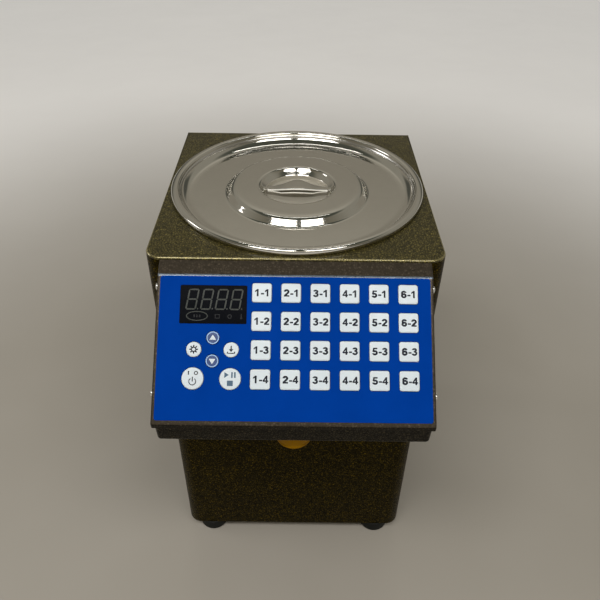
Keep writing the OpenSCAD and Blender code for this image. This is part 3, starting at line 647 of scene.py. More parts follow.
NODE_MATS = {
    "body_wrap": "paint", "top_cover": "deck", "rear_panel": "paint", "base_plate": "zinc", "rubber_feet": "rubber",
    "case_screws": "screw", "syrup_pot": "pot", "lid": "lid", "lid_handle": "lid", "heater_band": "heater", "thermostat": "brass",
    "pot_outlet": "pot", "suction_hose": "hose", "hose_clamps": "screw", "pump_body": "alloy", "pump_cover": "alloy",
    "drive_gear": "gear", "driven_gear": "gear", "gear_motor": "motor", "pump_bracket": "zinc", "discharge_hose": "hose",
    "nozzle": "amber", "head_shell": "box", "face_cover": "head", "overlay": "blue", "display_window": "window",
    "control_board": "board", "power_supply": "supply", "power_inlet": "black", "rocker": "black", "up_key": "key_blue", "down_key": "key_blue",
}
for n, o in frame["nodes"].items():
    m = M[NODE_MATS.get(n, "white")]
    if not o.material_slots:
        o.data.materials.append(m)
    for s in o.material_slots:
        s.link = "OBJECT"
        s.material = m

# ------------------------------------------------------------------ cabinet
# Body wrap: front and both sides bent from one sheet
WRAP_TOP = ZB + 414.5 - 2.7
FRONT_HOLES = [circ(-75, ZT - 88, 8, 32), circ(40, ZT - 68, 9, 32)] + [circ(x, z, 2, 16) for x in (-104, 104) for z in (ZT - 112, ZT - 30)]


def wrap():
    s = Shape()
    c = contour([(-HW, BODY_D), (-HW, 0), (HW, 0), (HW, BODY_D), (HW - SHEET, BODY_D), (HW - SHEET, SHEET), (-HW + SHEET, SHEET), (-HW + SHEET, BODY_D)],
                [0, 15.5, 15.5, 0, 0, 14.3, 14.3, 0], 14)
    ids = [s.pts([(x, y, z) for x, y in c(k)]) for k, z in edge_rings(ZB, WRAP_TOP, 0.35, 0.35)]
    ref = c(0)
    n = len(ref)
    flat = {}
    for i in range(n):
        (xa, ya), (xb, yb) = ref[i], ref[(i + 1) % n]
        for y in (0.0, SHEET):
            if abs(ya - y) < 1e-6 and abs(yb - y) < 1e-6 and abs(xa - xb) > 100:
                flat[i] = y
    for k, (a, b) in enumerate(zip(ids, ids[1:])):
        s.strip(a, b, skip=flat if k == 3 else ())
    s.fill([ids[0]])
    s.fill([ids[-1]])
    rims = {}
    for i, y in flat.items():
        a, b = ids[3], ids[4]
        j = (i + 1) % n
        loops = [s.pts([(x, y, z) for x, z in h(0)]) for h in FRONT_HOLES]
        rims[y] = loops
        s.fill([[a[i], a[j], b[j], b[i]]] + loops)
    for p, q in zip(rims[0.0], rims[SHEET]):
        s.strip(p, q)
    # rear flanges that the back panel screws into
    for x in (-1, 1):
        plate(s, rr(x * (HW - 7.2), (ZB + 3 + ZB + 3 + 394.5) / 2, 13.2, 394.5, 1.5, 4), [circ(x * (HW - 8), z, 2, 16) for z in (40, 160, 290, 410)],
              BODY_D - 2.8, BODY_D - 1.6, 0.2, 0.2, xf=lambda p: (p[0], p[2], p[1]))
    return s


build("wrap_panel", wrap(), M["paint"], "body_wrap")


def plan_c(k0, kb, r_back=0.4, seg=14):
    """The cabinet's outline moved inward by k0, with its back edge moved in by kb."""
    return contour([(-HW + k0, k0), (HW - k0, k0), (HW - k0, BODY_D - kb), (-HW + k0, BODY_D - kb)], [15.5 - k0, 15.5 - k0, r_back, r_back], seg)


def deck():
    s = Shape()
    c = plan_c(0, 0, 1.0)
    rings = [(2.6, ZT - 1.4), (2.6, ZT - 2.4), (2.4, ZT - 2.6), (0.25, ZT - 2.6), (0.07, ZT - 2.53), (0, ZT - 2.35)]
    rings += [(1.7 * (1 - cos(a)), ZT - 1.7 * (1 - sin(a))) for a in [pi / 2 * i / 6 for i in range(7)]]
    ids = [s.pts([(x, y, z) for x, y in c(k)]) for k, z in rings]
    for i, (a, b) in enumerate(zip(ids, ids[1:])):
        # the strips round the deck's rounded top edge take the lighter copy: a painted highlight all the way round
        s.mat = 1 if i >= len(ids) - 5 else 0
        s.strip(a, b)
    s.mat = 0
    h = circ(0, POT_Y, POT_R + 2.4, 160)
    hr = s.loft([[(x, y, z) for x, y in h(-k)] for k, z in edge_rings(ZT - 1.4, ZT, 0.2, 0.5)])
    s.fill([ids[0], hr[0]])
    s.fill([ids[-1], hr[-1]])
    # skirt that drops inside the wrap
    c2 = contour([(-HW + 1.4, BODY_D - 4), (-HW + 1.4, 1.4), (HW - 1.4, 1.4), (HW - 1.4, BODY_D - 4), (HW - 2.6, BODY_D - 4), (HW - 2.6, 2.6), (-HW + 2.6, 2.6), (-HW + 2.6, BODY_D - 4)],
                 [0, 14.1, 14.1, 0, 0, 12.9, 12.9, 0], 14)
    plate(s, c2, [], ZT - 14, ZT - 2.0, 0.3, 0.1)
    return s


build("deck_cover", deck(), [M["deck"], M["fold"]], "top_cover")


def back():
    s = Shape()
    holes = [rr(x * 45, zz + (i - 3) * 10, 60, 4.2, 2.05, 5) for zz in (150, 330) for i in range(7) for x in (-1, 1)]
    holes += [rr(-85, 64, 30.8, 62.8, 0.6, 3)] + [circ(x * (HW - 8), z, 2.2, 20) for x in (-1, 1) for z in (40, 160, 290, 410)]
    plate(s, rr(0, (ZB + 0.2 + ZB + 0.2 + 411.5) / 2, 2 * HW - 2.8, 411.5, 1.2, 4), holes, BODY_D - 1.5, BODY_D, 0.25, 0.45, xf=lambda p: (p[0], p[2], p[1]))
    return s


build("back_panel", back(), M["paint"], "rear_panel")

FOOT_XY = [(-105, 16.4), (105, 16.4), (-105, BODY_D - 20), (105, BODY_D - 20)]


def base():
    s = Shape()
    c = plan_c(1.4, 3.2, 0.4)
    holes = [circ(x, y, 2.2, 20) for x, y in FOOT_XY] + [rr(i * 14, 225, 5, 40, 2.4, 5) for i in range(-4, 5)]
    plate(s, c, holes, ZB, ZB + 1.5, 0.3, 0.3)
    for x in (-1, 1):
        plate(s, rr(24 + (BODY_D - 40) / 2, ZB + 9.2, BODY_D - 40, 14.6, 0.8, 3), [], x * (HW - 2.1) - 0.6, x * (HW - 2.1) + 0.6, 0.2, 0.2, xf=lambda p: (p[2], p[0], p[1]))
    plate(s, rr(0, ZB + 9.2, 2 * HW - 32, 14.6, 0.8, 3), [], BODY_D - 4.6, BODY_D - 3.4, 0.2, 0.2, xf=lambda p: (p[0], p[2], p[1]))
    return s


build("floor_pan", base(), M["zinc"], "base_plate")

s = Shape()
foot = [(2.2, 6), (6.6, 6), (7, 5.6), (7, 0.5), (7.5, 0), (14.8, 0), (16.1, 0.25), (17.1, 0.9), (17.7, 1.9), (18, 3.2), (18, 14.6), (17.8, 15.4), (17.1, 15.9), (16.4, 16), (2.2, 16)]
for x, y in FOOT_XY:
    lathe(s, foot, (x, y, 0), 72, closed=True)
build("feet", s, M["rubber"], "rubber_feet")


def cross_loop(w, l, z, bev=0.12):
    pts = [(w, w), (l, w), (l + bev, w - bev), (l + bev, -w + bev), (l, -w), (w, -w), (w, -l), (w - bev, -l - bev), (-w + bev, -l - bev), (-w, -l),
           (-w, -w), (-l, -w), (-l - bev, -w + bev), (-l - bev, w - bev), (-l, w), (-w, w), (-w, l), (-w + bev, l + bev), (w - bev, l + bev), (w, l)]
    return [(x, y, z) for x, y in pts]


def pan_screw(s, length, xf, turn=0.3):
    """A pan-head screw with a cross recess. Its head stands on the plane z = 0."""
    t = Shape()
    thread = []
    z = -length + 0.6
    while z < -1.2:
        thread += [(1.62, z), (1.95, z + 0.35)]
        z += 0.7
    prof = [(0, -length), (1.2, -length), (1.62, -length + 0.5)] + thread + [(1.9, -0.6), (1.9, 0), (3.3, 0), (3.5, 0.2), (3.5, 0.85), (3.38, 1.22), (3.08, 1.6), (2.62, 1.9), (2.1, 2.08), (1.95, 2.12)]
    rings = lathe(t, prof, seg=40)
    a = t.pts(cross_loop(0.42, 1.45, 2.12))
    b = t.pts(cross_loop(0.36, 1.25, 1.6))
    c = t.pts(cross_loop(0.2, 0.75, 0.95, 0.06))
    t.fill([rings[-1], a])
    t.strip(a, b)
    t.strip(b, c)
    t.fill([c])
    ct, st = cos(turn), sin(turn)
    s.add(t, lambda p: xf((p[0] * ct - p[1] * st, p[0] * st + p[1] * ct, p[2])))


CHEEK = [(119.3, -6), (26.3, -6)]
s = Shape()
k = 0
for x in (-1, 1):
    for z in (40, 160, 290, 410):
        k += 1
        pan_screw(s, 9, lambda p, x=x, z=z: (x * (HW - 8) + p[0], BODY_D + p[2], z + p[1]), k * 0.9)
for v, w in CHEEK:
    for x in (-1, 1):
        k += 1
        pan_screw(s, 5, lambda p, x=x, v=v, w=w: on_face((x * (HEAD_W / 2 + p[2]), v + p[0], w + p[1])), k * 0.9)
for fx, fy in FOOT_XY:
    k += 1
    pan_screw(s, 16, lambda p, fx=fx, fy=fy: (fx + p[0], fy + p[1], 5.95 - p[2]), k * 0.9)
for x in (-104, 104):
    for z in (ZT - 112, ZT - 30):
        k += 1
        pan_screw(s, 8, lambda p, x=x, z=z: (x + p[0], SHEET + p[2], z + p[1]), k * 0.9)
build("screws", s, M["screw"], "case_screws")


# ------------------------------------------------------------------ folded covers of the control head
def right_of(a, b):
    d = (b - a).normalized()
    return Vector((d.y, -d.x))


def cross2(a, b):
    return a.x * b.y - a.y * b.x


def meet(p, d, q, e):
    return p + d * (cross2(q - p, e) / cross2(d, e))


def inset(a, b, c, k):
    return meet(a - right_of(a, b) * k, b - a, b - right_of(b, c) * k, c - b)


def tray(corners, radii, xh, r, back, wall_holes, cheek_holes, t=SHEET, seg=6, bright=None, lip=None):
    """A sheet folded along a path in the side view, with its two sides folded back round a bend of radius r.
    wall_holes: {corner index of a straight stretch: [outline in (x, distance along the stretch)]}."""
    s = Shape()
    path, off = fillet(corners, radii, False, seg)
    # the straight stretch that starts at each corner, as (index in path of its first point)
    starts = {}
    k = 0
    for i in range(len(corners) - 1):
        a, b = Vector(corners[i]), Vector(corners[i + 1])
        d = (b - a).normalized()
        best = max(range(len(path) - 1), key=lambda j: (path[j + 1] - path[j]).length if abs(cross2((path[j + 1] - path[j]).normalized(), d)) < 1e-4 and abs(cross2(path[j] - a, d)) < 1e-3 else -1)
        starts[i] = best
    m = 5
    cols_o = [(-xh + r * (1 - sin(a)), r * (1 - cos(a))) for a in [pi / 2 * (1 - i / m) for i in range(m + 1)]]
    cols_o = cols_o + [(-x, k) for x, k in cols_o[::-1]]
    ri = max(0.3, r - t)
    kin = t + ri
    cols_i = [(-xh + t + ri * (1 - sin(a)), t + ri * (1 - cos(a))) for a in [pi / 2 * (1 - i / m) for i in range(m + 1)]]
    cols_i = cols_i + [(-x, k) for x, k in cols_i[::-1]]
    cols_o = [(x, k * (kin / r)) for x, k in cols_o]

    def grid(cols):
        return [s.pts([(x, p.x - o.x * k, p.y - o.y * k) for x, k in cols]) for p, o in zip(path, off)]

    go, gi = grid(cols_o), grid(cols_i)
    for g in (go, gi):
        for j in range(len(path) - 1):
            flat = [i for i, b in starts.items() if b == j]
            skip = {m} if flat and wall_holes.get(flat[0]) else set()
            mid = (path[j] + path[j + 1]) / 2
            # outer faces near the corner bright[0] take material 1, the pale copy painted as a highlight on the upper
            # bend
            s.mat = 1 if bright and g is go and (mid - bright[0]).length < bright[1] else 2 if lip is not None and mid.y < lip else 0
            s.strip(g[j], g[j + 1], False, skip)
    s.mat = 0
    for i, holes in wall_holes.items():
        j = starts[i]
        a, b = Vector(corners[i]), Vector(corners[i + 1])
        d = (b - a).normalized()
        nrm = Vector((d.y, -d.x))
        pair = []
        for g, depth in ((go, 0.0), (gi, t)):
            loops = []
            for h in holes:
                loops.append(s.pts([(x, a.x + d.x * q - nrm.x * depth, a.y + d.y * q - nrm.y * depth) for x, q in h(0)]))
            s.fill([[g[j][m], g[j][m + 1], g[j + 1][m + 1], g[j + 1][m]]] + loops)
            pair.append(loops)
        for p, q in zip(*pair):
            s.strip(p, q)
    # end edges of the folded sheet
    s.strip(go[0], gi[0], False)
    s.strip(go[-1], gi[-1], False)
    for side in (0, -1):
        x0 = (-1 if side == 0 else 1)
        bo = s.pts([(x0 * xh, p[0], p[1]) for p in back])
        bi = s.pts([(x0 * (xh - t), p[0], p[1]) for p in back])
        rim_o = [g[side] for g in go] + bo
        rim_i = [g[side] for g in gi] + bi
        hl_o = [s.pts([(x0 * xh, y, z) for y, z in h(0)]) for h in cheek_holes]
        hl_i = [s.pts([(x0 * (xh - t), y, z) for y, z in h(0)]) for h in cheek_holes]
        s.fill([rim_o] + hl_o)
        s.fill([rim_i] + hl_i)
        for p, q in zip(hl_o, hl_i):
            s.strip(p, q)
        chain_o = [go[-1][side]] + bo + [go[0][side]]
        chain_i = [gi[-1][side]] + bi + [gi[0][side]]
        s.strip(chain_o, chain_i, False)
    return s


def face_holes(d):
    out = []
    for c in range(1, 7):
        for r in range(1, 5):
            u, v = dose_uv(c, r)
            out.append(rr(u, v, KEY_S + 2 * d, KEY_S + 2 * d, 2 + d, 5))
    for _, u, dn, r in ROUND_KEYS:
        out.append(circ(u, FACE_LEN - dn, r + d, 48))
    out.append(rr(WIN_U, WIN_V, WIN_W, WIN_H, 1, 4))
    return out


def flip(h, length):
    """An outline given up the face, measured down it."""
    return lambda k: [(x, length - y) for x, y in h(k)]


def cheek_circles(r, seg=24):
    out = []
    for v, w in CHEEK:
        q = PB + FV * v + FN * w
        out.append(circ(q.x, q.y, r, seg))
    return out


fc_back = [(PC.x + 16, PC.y), tuple(PB - FN * 14 + FV * 9), tuple(PT - FN * 14), (PA.x, PA.y - 14)]
# faces below lip= take the cover's third material, the darker copy painted as shade; faces near bright= take the pale
# painted highlight
cover = tray([PA, PT, PB, PC], [0, 9.0, 2.2, 0], HEAD_W / 2, 1.5, fc_back, {1: [flip(h, FACE_LEN) for h in face_holes(GAP)]}, cheek_circles(2.1), seg=40, bright=(PT, 1.15), lip=PB.y - 0.1)
build("front_cover", cover, [M["head"], M["bend"], M["lip"]], "face_cover")

q_T = inset(PA, PT, PB, 2.8)
q_B = inset(PT, PB, PC, 2.8)
sh = HEAD_W / 2 - 1.5
z_low = ZT - HEAD_DROP
p0 = Vector((PB.x + 3.4, PC.y - 0.2))
p1 = Vector((PB.x + 6.3, z_low))
p2 = Vector((-0.1, z_low))
p3 = Vector((-0.1, ZT - 5.2))
under = tray([p0, p1, p2, p3], [0, 3.0, 1.6, 0], sh, 3.6, [tuple(q_T), tuple(q_B)],
             {1: [circ(0, NOZ_Y - p1.x, 12, 48)], 2: [circ(-75, ZT - 88 - z_low, 8, 32), circ(40, ZT - 68 - z_low, 9, 32)] + [circ(x, z - z_low, 2, 16) for x in (-104, 104) for z in (ZT - 112, ZT - 30)]},
             cheek_circles(2.0))
build("head_box", under, M["box"], "head_shell")

FOLD_V, FOLD_R = FACE_LEN - 9.0 * math.tan(SLOPE / 2), 9.0


def over_fold(p):
    """As on_face, but what lies past the flat of the face follows its upper fold."""
    u, v, w = p
    if v <= FOLD_V:
        return on_face(p)
    a = (v - FOLD_V) / FOLD_R
    return on_face((u, FOLD_V + (FOLD_R + w) * sin(a), w - (FOLD_R + w) * (1 - cos(a))))


def film_edge(k):
    """The film's outline, with points along its sides where it follows the fold."""
    base = rr(0, (3.8 + 127.9) / 2, 235.2, 127.9 - 3.8, 2, 10)(k)
    out = []
    for i, a in enumerate(base):
        b = base[(i + 1) % len(base)]
        out.append(a)
        if abs(a[1] - b[1]) > 50:
            vs = [FOLD_V - 0.2] + [FOLD_V + 0.25 * q for q in range(1, 2)]
            out += [(a[0], v) for v in (vs if b[1] > a[1] else vs[::-1])]
    return out


s = Shape()
plate(s, film_edge, face_holes(GAP), 0.0, 0.5, 0.05, 0.2, xf=over_fold, hr0=0.05, hr1=0.16)
build("front_film", s, M["blue"], "overlay")

# display window with its unlit figures
s = Shape()
plate(s, rr(WIN_U, WIN_V, WIN_W - 0.1, WIN_H - 0.1, 0.95, 6), [], -1.4, 0.5, 0.1, 0.18, xf=on_face)
s.mat = 1


def seven(X, Y):
    w, h, t, g = 8.0, 17.2, 1.3, 0.16
    d = []
    hb = h / 2

    def bar(a, b):
        dx, dy = b[0] - a[0], b[1] - a[1]
        L = math.hypot(dx, dy)
        ux, uy = dx / L, dy / L
        a2, b2 = (a[0] + ux * g, a[1] + uy * g), (b[0] - ux * g, b[1] - uy * g)
        nx, ny = -uy * t / 2, ux * t / 2
        c = t / 2
        return poly_d(X, Y, [a2, (a2[0] + ux * c - nx, a2[1] + uy * c - ny), (b2[0] - ux * c - nx, b2[1] - uy * c - ny), b2,
                             (b2[0] - ux * c + nx, b2[1] - uy * c + ny), (a2[0] + ux * c + nx, a2[1] + uy * c + ny)])

    for a, b in [((0, 0), (w, 0)), ((0, hb), (w, hb)), ((0, h), (w, h)), ((0, 0), (0, hb)), ((w, 0), (w, hb)), ((0, hb), (0, h)), ((w, hb), (w, h))]:
        d.append(bar(a, b))
    return any_of(*d)


SEVEN = trace(seven, -1.2, -1.2, 10.2, 18.6, 0.11)
for i in range(4):
    u0 = -94.4 + 12.7 * i
    v0 = FACE_LEN - 30.1
    printed(s, SEVEN, 0.49, 0.515, on_face, u0, v0, 1.0, 0.165)
    dot = trace(lambda X, Y: seg_d(X, Y, (0, 0), (0.25, 1.3), 0.9), -1, -1, 2, 3, 0.1)
    printed(s, dot, 0.49, 0.515, on_face, u0 + 10.0, v0 - 0.3)
oval = trace(lambda X, Y: arc_d(X, Y, (0, 0), 9.0, 3.9, 360, 0, 0.75), -10.5, -5.5, 10.5, 5.5, 0.12)
printed(s, oval, 0.49, 0.515, on_face, -84.6, FACE_LEN - 36.1)
s.mat = 2
drop = trace(lambda X, Y: np.maximum(np.hypot(X, Y) - 1.9, -(np.hypot(X, Y) - 1.2)), -2.5, -2.5, 2.5, 2.5, 0.1)
tray_i = trace(lambda X, Y: np.maximum(box_d(X, Y, -2.1, -1.9, 2.1, 1.9), -box_d(X, Y, -1.5, -1.3, 1.5, 1.3)), -2.6, -2.6, 2.6, 2.6, 0.1)
stick = trace(lambda X, Y: any_of(box_d(X, Y, -0.45, -1.0, 0.45, 2.2), np.hypot(X, Y + 1.4) - 0.95), -2, -3, 2, 3, 0.1)
bars3 = trace(lambda X, Y: any_of(box_d(X, Y, -3.6, -1.2, -2.4, 1.2), box_d(X, Y, -1.2, -1.2, 0.0, 1.2), box_d(X, Y, 1.2, -1.2, 2.4, 1.2)), -4.5, -2, 4.5, 2, 0.1)
printed(s, bars3, 0.49, 0.513, on_face, -84.0, FACE_LEN - 36.1)
printed(s, tray_i, 0.49, 0.513, on_face, -67.0, FACE_LEN - 36.3)
printed(s, drop, 0.49, 0.513, on_face, -56.4, FACE_LEN - 36.3)
printed(s, stick, 0.49, 0.513, on_face, -46.4, FACE_LEN - 36.3)
build("display", s, [M["window"], M["segment"], M["faint"]], "display_window")


# ------------------------------------------------------------------ keys
def cap(c, skirt, u, v):
    """A key: stem, retaining skirt and a pad with a soft upper edge."""
    s = Shape()

    def f(p):
        return on_face((p[0] + u, p[1] + v, p[2]))

    rings = [(0.12, -2.4), (0, -2.28), (0, -1.67), (0.12, -1.55)]
    a = s.loft([[f((x, y, z)) for x, y in skirt(k)] for k, z in rings])
    tops = [(0, -1.55), (0, 0.42), (0.05, 0.58), (0.16, 0.70), (0.34, 0.79), (0.62, 0.85), (1.0, 0.885), (1.5, 0.9)]
    b = s.loft([[f((x, y, z)) for x, y in c(k)] for k, z in tops])
    s.fill([a[-1], b[0]])
    s.fill([b[-1]])
    st = circ(0, 0, 2.5, 32)
    d = s.loft([[f((x, y, z)) for x, y in st(k)] for k, z in [(0, -2.4), (0, -3.8), (0.2, -4.0)]])
    s.fill([a[0], d[0]])
    s.fill([d[-1]])
    return s, f


LABEL_H = 6.35
for c in range(1, 7):
    for r in range(1, 5):
        u, v = dose_uv(c, r)
        s, f = cap(rr(0, 0, KEY_S, KEY_S, 2, 8), rr(0, 0, KEY_S + 2.2, KEY_S + 2.2, 2.5, 6), u, v)
        s.mat = 1
        adv = {"-": 0.465}
        text = f"{c}-{r}"
        x = -LABEL_H * 1.08 * sum(adv.get(ch, 0.776) for ch in text) / 2 + 0.6
        for ch in text:
            printed(s, DIGITS[ch], 0.885, 0.918, f, x, -LABEL_H / 2, LABEL_H, wide=1.08)
            x += LABEL_H * 1.08 * adv.get(ch, 0.776)
        build(f"key_{c}_{r}", s, [M["white"], M["ink"]], f"dose_key_{c}_{r}")


def ring_d(X, Y, r, t):
    return np.abs(np.hypot(X, Y) - r) - t / 2


def gear_icon(X, Y):
    a = np.arctan2(Y, X)
    rad = np.hypot(X, Y)
    edge = 3.0 + 0.75 * np.clip(np.cos(8 * a) * 2.2, -1, 1)
    return np.maximum(rad - edge, 1.35 - rad)


ICONS = {
    "up_key": [(2, lambda X, Y: ring_d(X, Y, 4.95, 0.85)), (3, lambda X, Y: poly_d(X, Y, [(-2.85, -1.75), (2.85, -1.75), (0.35, 2.35), (-0.35, 2.35)]))],
    "down_key": [(2, lambda X, Y: ring_d(X, Y, 4.95, 0.85)), (3, lambda X, Y: poly_d(X, Y, [(-0.35, -2.35), (0.35, -2.35), (2.85, 1.75), (-2.85, 1.75)]))],
    "set_key": [(1, gear_icon)],
    "save_key": [(1, lambda X, Y: any_of(box_d(X, Y, -0.5, -0.6, 0.5, 3.4), poly_d(X, Y, [(0, -2.0), (1.9, 0.4), (-1.9, 0.4)]),
                                         box_d(X, Y, -3.4, -3.5, 3.4, -2.7), box_d(X, Y, -3.4, -3.5, -2.6, -1.6), box_d(X, Y, 2.6, -3.5, 3.4, -1.6)))],
    "power_key": [(1, lambda X, Y: any_of(arc_d(X, Y, (0, -2.6), 2.9, 2.9, 415, 125, 0.75), box_d(X, Y, -0.38, -2.6, 0.38, 1.5))),
                  (1, lambda X, Y: any_of(box_d(X, Y, -3.9, 3.0, -3.0, 6.2), np.abs(np.hypot((X - 2.9), (Y - 4.6)) - 1.35) - 0.36))],
    "stop_key": [(1, lambda X, Y: any_of(poly_d(X, Y, [(-4.9, 0.9), (-1.1, 3.35), (-4.9, 5.8)]), box_d(X, Y, 0.9, 0.9, 2.2, 5.8), box_d(X, Y, 3.4, 0.9, 4.7, 5.8))),
                 (1, lambda X, Y: box_d(X, Y, -2.5, -6.0, 2.5, -1.4))],
}
for name, u, dn, r in ROUND_KEYS:
    s, f = cap(circ(0, 0, r, 64), circ(0, 0, r + 1.1, 64), u, FACE_LEN - dn)
    for mat, fn in ICONS[name]:
        s.mat = mat
        printed(s, trace(fn, -r, -r, r, r, 0.09), 0.86, 0.918, f)
    blue = name in ("up_key", "down_key")
    build("cap_" + name, s, [M["key_blue"] if blue else M["white"], M["slate"] if name == "stop_key" else M["ink"], M["ring"], M["white"]], name)

# ------------------------------------------------------------------ mains inlet and its rocker
IN_X, IN_Z, RK_Y, RK_Z = -85.0, 52.0, 267.0, 83.0


def rear(p):
    return (p[0], p[2], p[1])


s = Shape()
body_c, flange_c = rr(IN_X, 64, 30.4, 62, 2, 5), rr(IN_X, 64, 38, 74, 4, 8)
sock_c, well_c = rr(IN_X, IN_Z, 26, 18, 3, 8), rr(IN_X, RK_Z, 21, 19.2, 0.8, 4)
b = s.loft([[rear((x, z, y)) for x, z in body_c(k)] for k, y in [(0.6, 242.0), (0.15, 242.15), (0, 242.6), (0, 270.0)]])
s.fill([b[0]])
g = s.loft([[rear((x, z, y)) for x, z in flange_c(k)] for k, y in [(0, 270.0), (0, 271.1), (0.12, 271.5), (0.35, 271.8), (0.75, 271.97), (1.1, 272.0)]])
s.fill([g[0], b[-1]])
holes = []
for c, lip in ((sock_c, 0.9), (well_c, 0.5)):
    h = s.loft([[rear((x, z, y)) for x, z in c(-k)] for k, y in [(lip, 272.0), (lip * 0.5, 271.85), (lip * 0.15, 271.6), (0, 271.2), (0, 256.0)]])
    holes.append(h[0])
    s.fill([h[-1]])
s.fill([g[-1]] + holes)
# snap latches on both sides of the body
for x in (-1, 1):
    plate(s, contour([(262.5, 58), (269.2, 58), (269.2, 70), (262.5, 70)], 0.4, 3), [], 0.0, 1.0, 0.1, 0.5,
          xf=lambda p, x=x: (IN_X + x * (15.0 + p[2] * (0.3 + 0.7 * (p[0] - 262.5) / 6.7)), p[0], p[1]))
s.mat = 1
for bx, bz in [(-6, -1.8), (6, -1.8), (0, 2.2)]:
    c = rr(IN_X + bx, IN_Z + bz, 2, 4, 0.3, 3)
    h = s.loft([[rear((x, z, y)) for x, z in c(k)] for k, y in [(0, 255.5), (0, 269.0), (0.15, 269.6), (0.5, 270.0)]])
    s.fill([h[0]])
    s.fill([h[-1]])
for bx in (-9, 0, 9):
    plate(s, contour([(IN_X + bx - 2.4, 234), (IN_X + bx + 2.4, 234), (IN_X + bx + 2.4, 243), (IN_X + bx - 2.4, 243)], [0.8, 0.8, 0, 0], 3), [circ(IN_X + bx, 236.6, 0.7, 16)],
          IN_Z - 4, IN_Z - 3.2, 0.1, 0.1)
build("mains_inlet", s, [M["black"], M["blade"]], "power_inlet")


def paddle(z):
    return 2.4 + 1.35 * (abs(z) / 8.2) ** 2.2


def rocked(p):
    """Paddle frame (across, outwards, up) to the front-plane frame, tilted by 10 degrees."""
    c, q = cos(radians(10)), sin(radians(10))
    return (IN_X + p[0], RK_Y + p[1] * c - p[2] * q, RK_Z + p[1] * q + p[2] * c)


s = Shape()
side_pts = [(-5, -8.2)] + [(-5, 8.2)] + [(3.2, 8.4)] + [(paddle(z), z) for z in [8.2 - 16.4 * k / 24 for k in range(25)]] + [(3.2, -8.4)]
side_rad = [1.0, 1.0, 0.4] + [0.0] * 25 + [0.4]
plate(s, contour(side_pts, side_rad, 4), [], -10.1, 10.1, 0.45, 0.45, xf=lambda p: rocked((p[2], p[0], p[1])))
lathe(s, [(0, -12.2), (1.3, -12.2), (1.5, -12.0), (1.5, 12.0), (1.3, 12.2), (0, 12.2)], seg=32, xf=lambda p: (IN_X + p[2], RK_Y + p[0], RK_Z + p[1]))
for k in range(5):
    zz = -1.6 + 0.8 * k
    plate(s, rr(0, zz, 8.0, 0.34, 0.16, 3), [], -0.1, 0.16, 0.02, 0.1, xf=lambda p: rocked((p[0], paddle(p[1]) + p[2], p[1])))
s.mat = 1
on_mark = trace(lambda X, Y: box_d(X, Y, -0.42, -1.9, 0.42, 1.9), -1.5, -3, 1.5, 3, 0.1)
off_mark = trace(lambda X, Y: arc_d(X, Y, (0, 0), 1.75, 1.75, 360, 0, 0.62), -3, -3, 3, 3, 0.08)
printed(s, on_mark, -0.05, 0.04, lambda p: rocked((-p[0], paddle(p[1]) + p[2], p[1])), 0, 5.0)
printed(s, off_mark, -0.05, 0.04, lambda p: rocked((-p[0], paddle(p[1]) + p[2], p[1])), 0, -5.0)
build("rocker_paddle", s, [M["black"], M["mark"]], "rocker")

# ------------------------------------------------------------------ pot and lid
LID_OUT = [(0, -9.5), (31.2, -9.5), (32.4, -9.1), (32.9, -8.0), (33.2, -5.4), (33.7, -4.5), (34.6, -3.6), (37.6, -0.6), (38.4, 0.3), (39.1, 1.2), (40.2, 1.85), (42.0, 2.1), (60, 2.1), (64.5, 1.95), (67.6, 1.4), (69.3, 0.3),
           (74.0, -4.4), (75.1, -4.95), (76.9, -5.1), (108, -5.1), (110.5, -5.0), (113.6, -4.6), (116.6, -3.3), (119.3, -1.1), (121.0, 1.1), (122.0, 3.2), (122.6, 4.7), (123.6, 5.7), (125.2, 6.1),
           (127.2, 6.1), (128.9, 5.75), (130.0, 4.9), (130.5, 3.6), (130.65, 2.0), (130.5, 1.0), (129.9, 0.7)]
LID_IN = [(129.7, 1.5), (129.55, 2.9), (129.1, 4.1), (128.3, 4.85), (127.0, 5.2), (125.3, 5.2), (124.2, 4.9), (123.5, 4.2), (122.8, 2.9), (121.8, 0.7), (120.0, -1.7), (117.1, -4.1),
          (113.9, -5.45), (110.6, -5.9), (108, -6.0), (76.2, -6.0), (74.1, -5.8), (72.8, -5.1), (68.1, -0.4), (66.4, 0.5), (64.3, 1.05), (60, 1.2), (42.2, 1.2), (40.7, 0.95), (39.6, 0.2),
          (38.2, -1.3), (33.4, -6.0), (32.6, -8.6), (32.2, -10.0), (31.2, -10.4), (0, -10.4)]
s = Shape()
lid_path = smooth_path(LID_OUT, 5)
lathe(s, lid_path + smooth_path(LID_IN, 4), (0, POT_Y, ZT), 256)
for i, f in enumerate(s.f):
    if max(math.hypot(s.v[k][0], s.v[k][1] - POT_Y) for k in f) < 33.6 and min(s.v[k][2] for k in f) > ZT - 9.6:
        s.m[i] = 1
build("pot_lid", s, [M["lid"], M["well"]], "lid", angle=50, weighted=False)

# strap handle with turned-down edges
STRAP_L = 35.4


def bow(x):
    return 1 / (1 + (abs(x) / 12) ** 2.6)


def swell(x):
    return max(0.0, (bow(x) - bow(STRAP_L)) / (1 - bow(STRAP_L)))


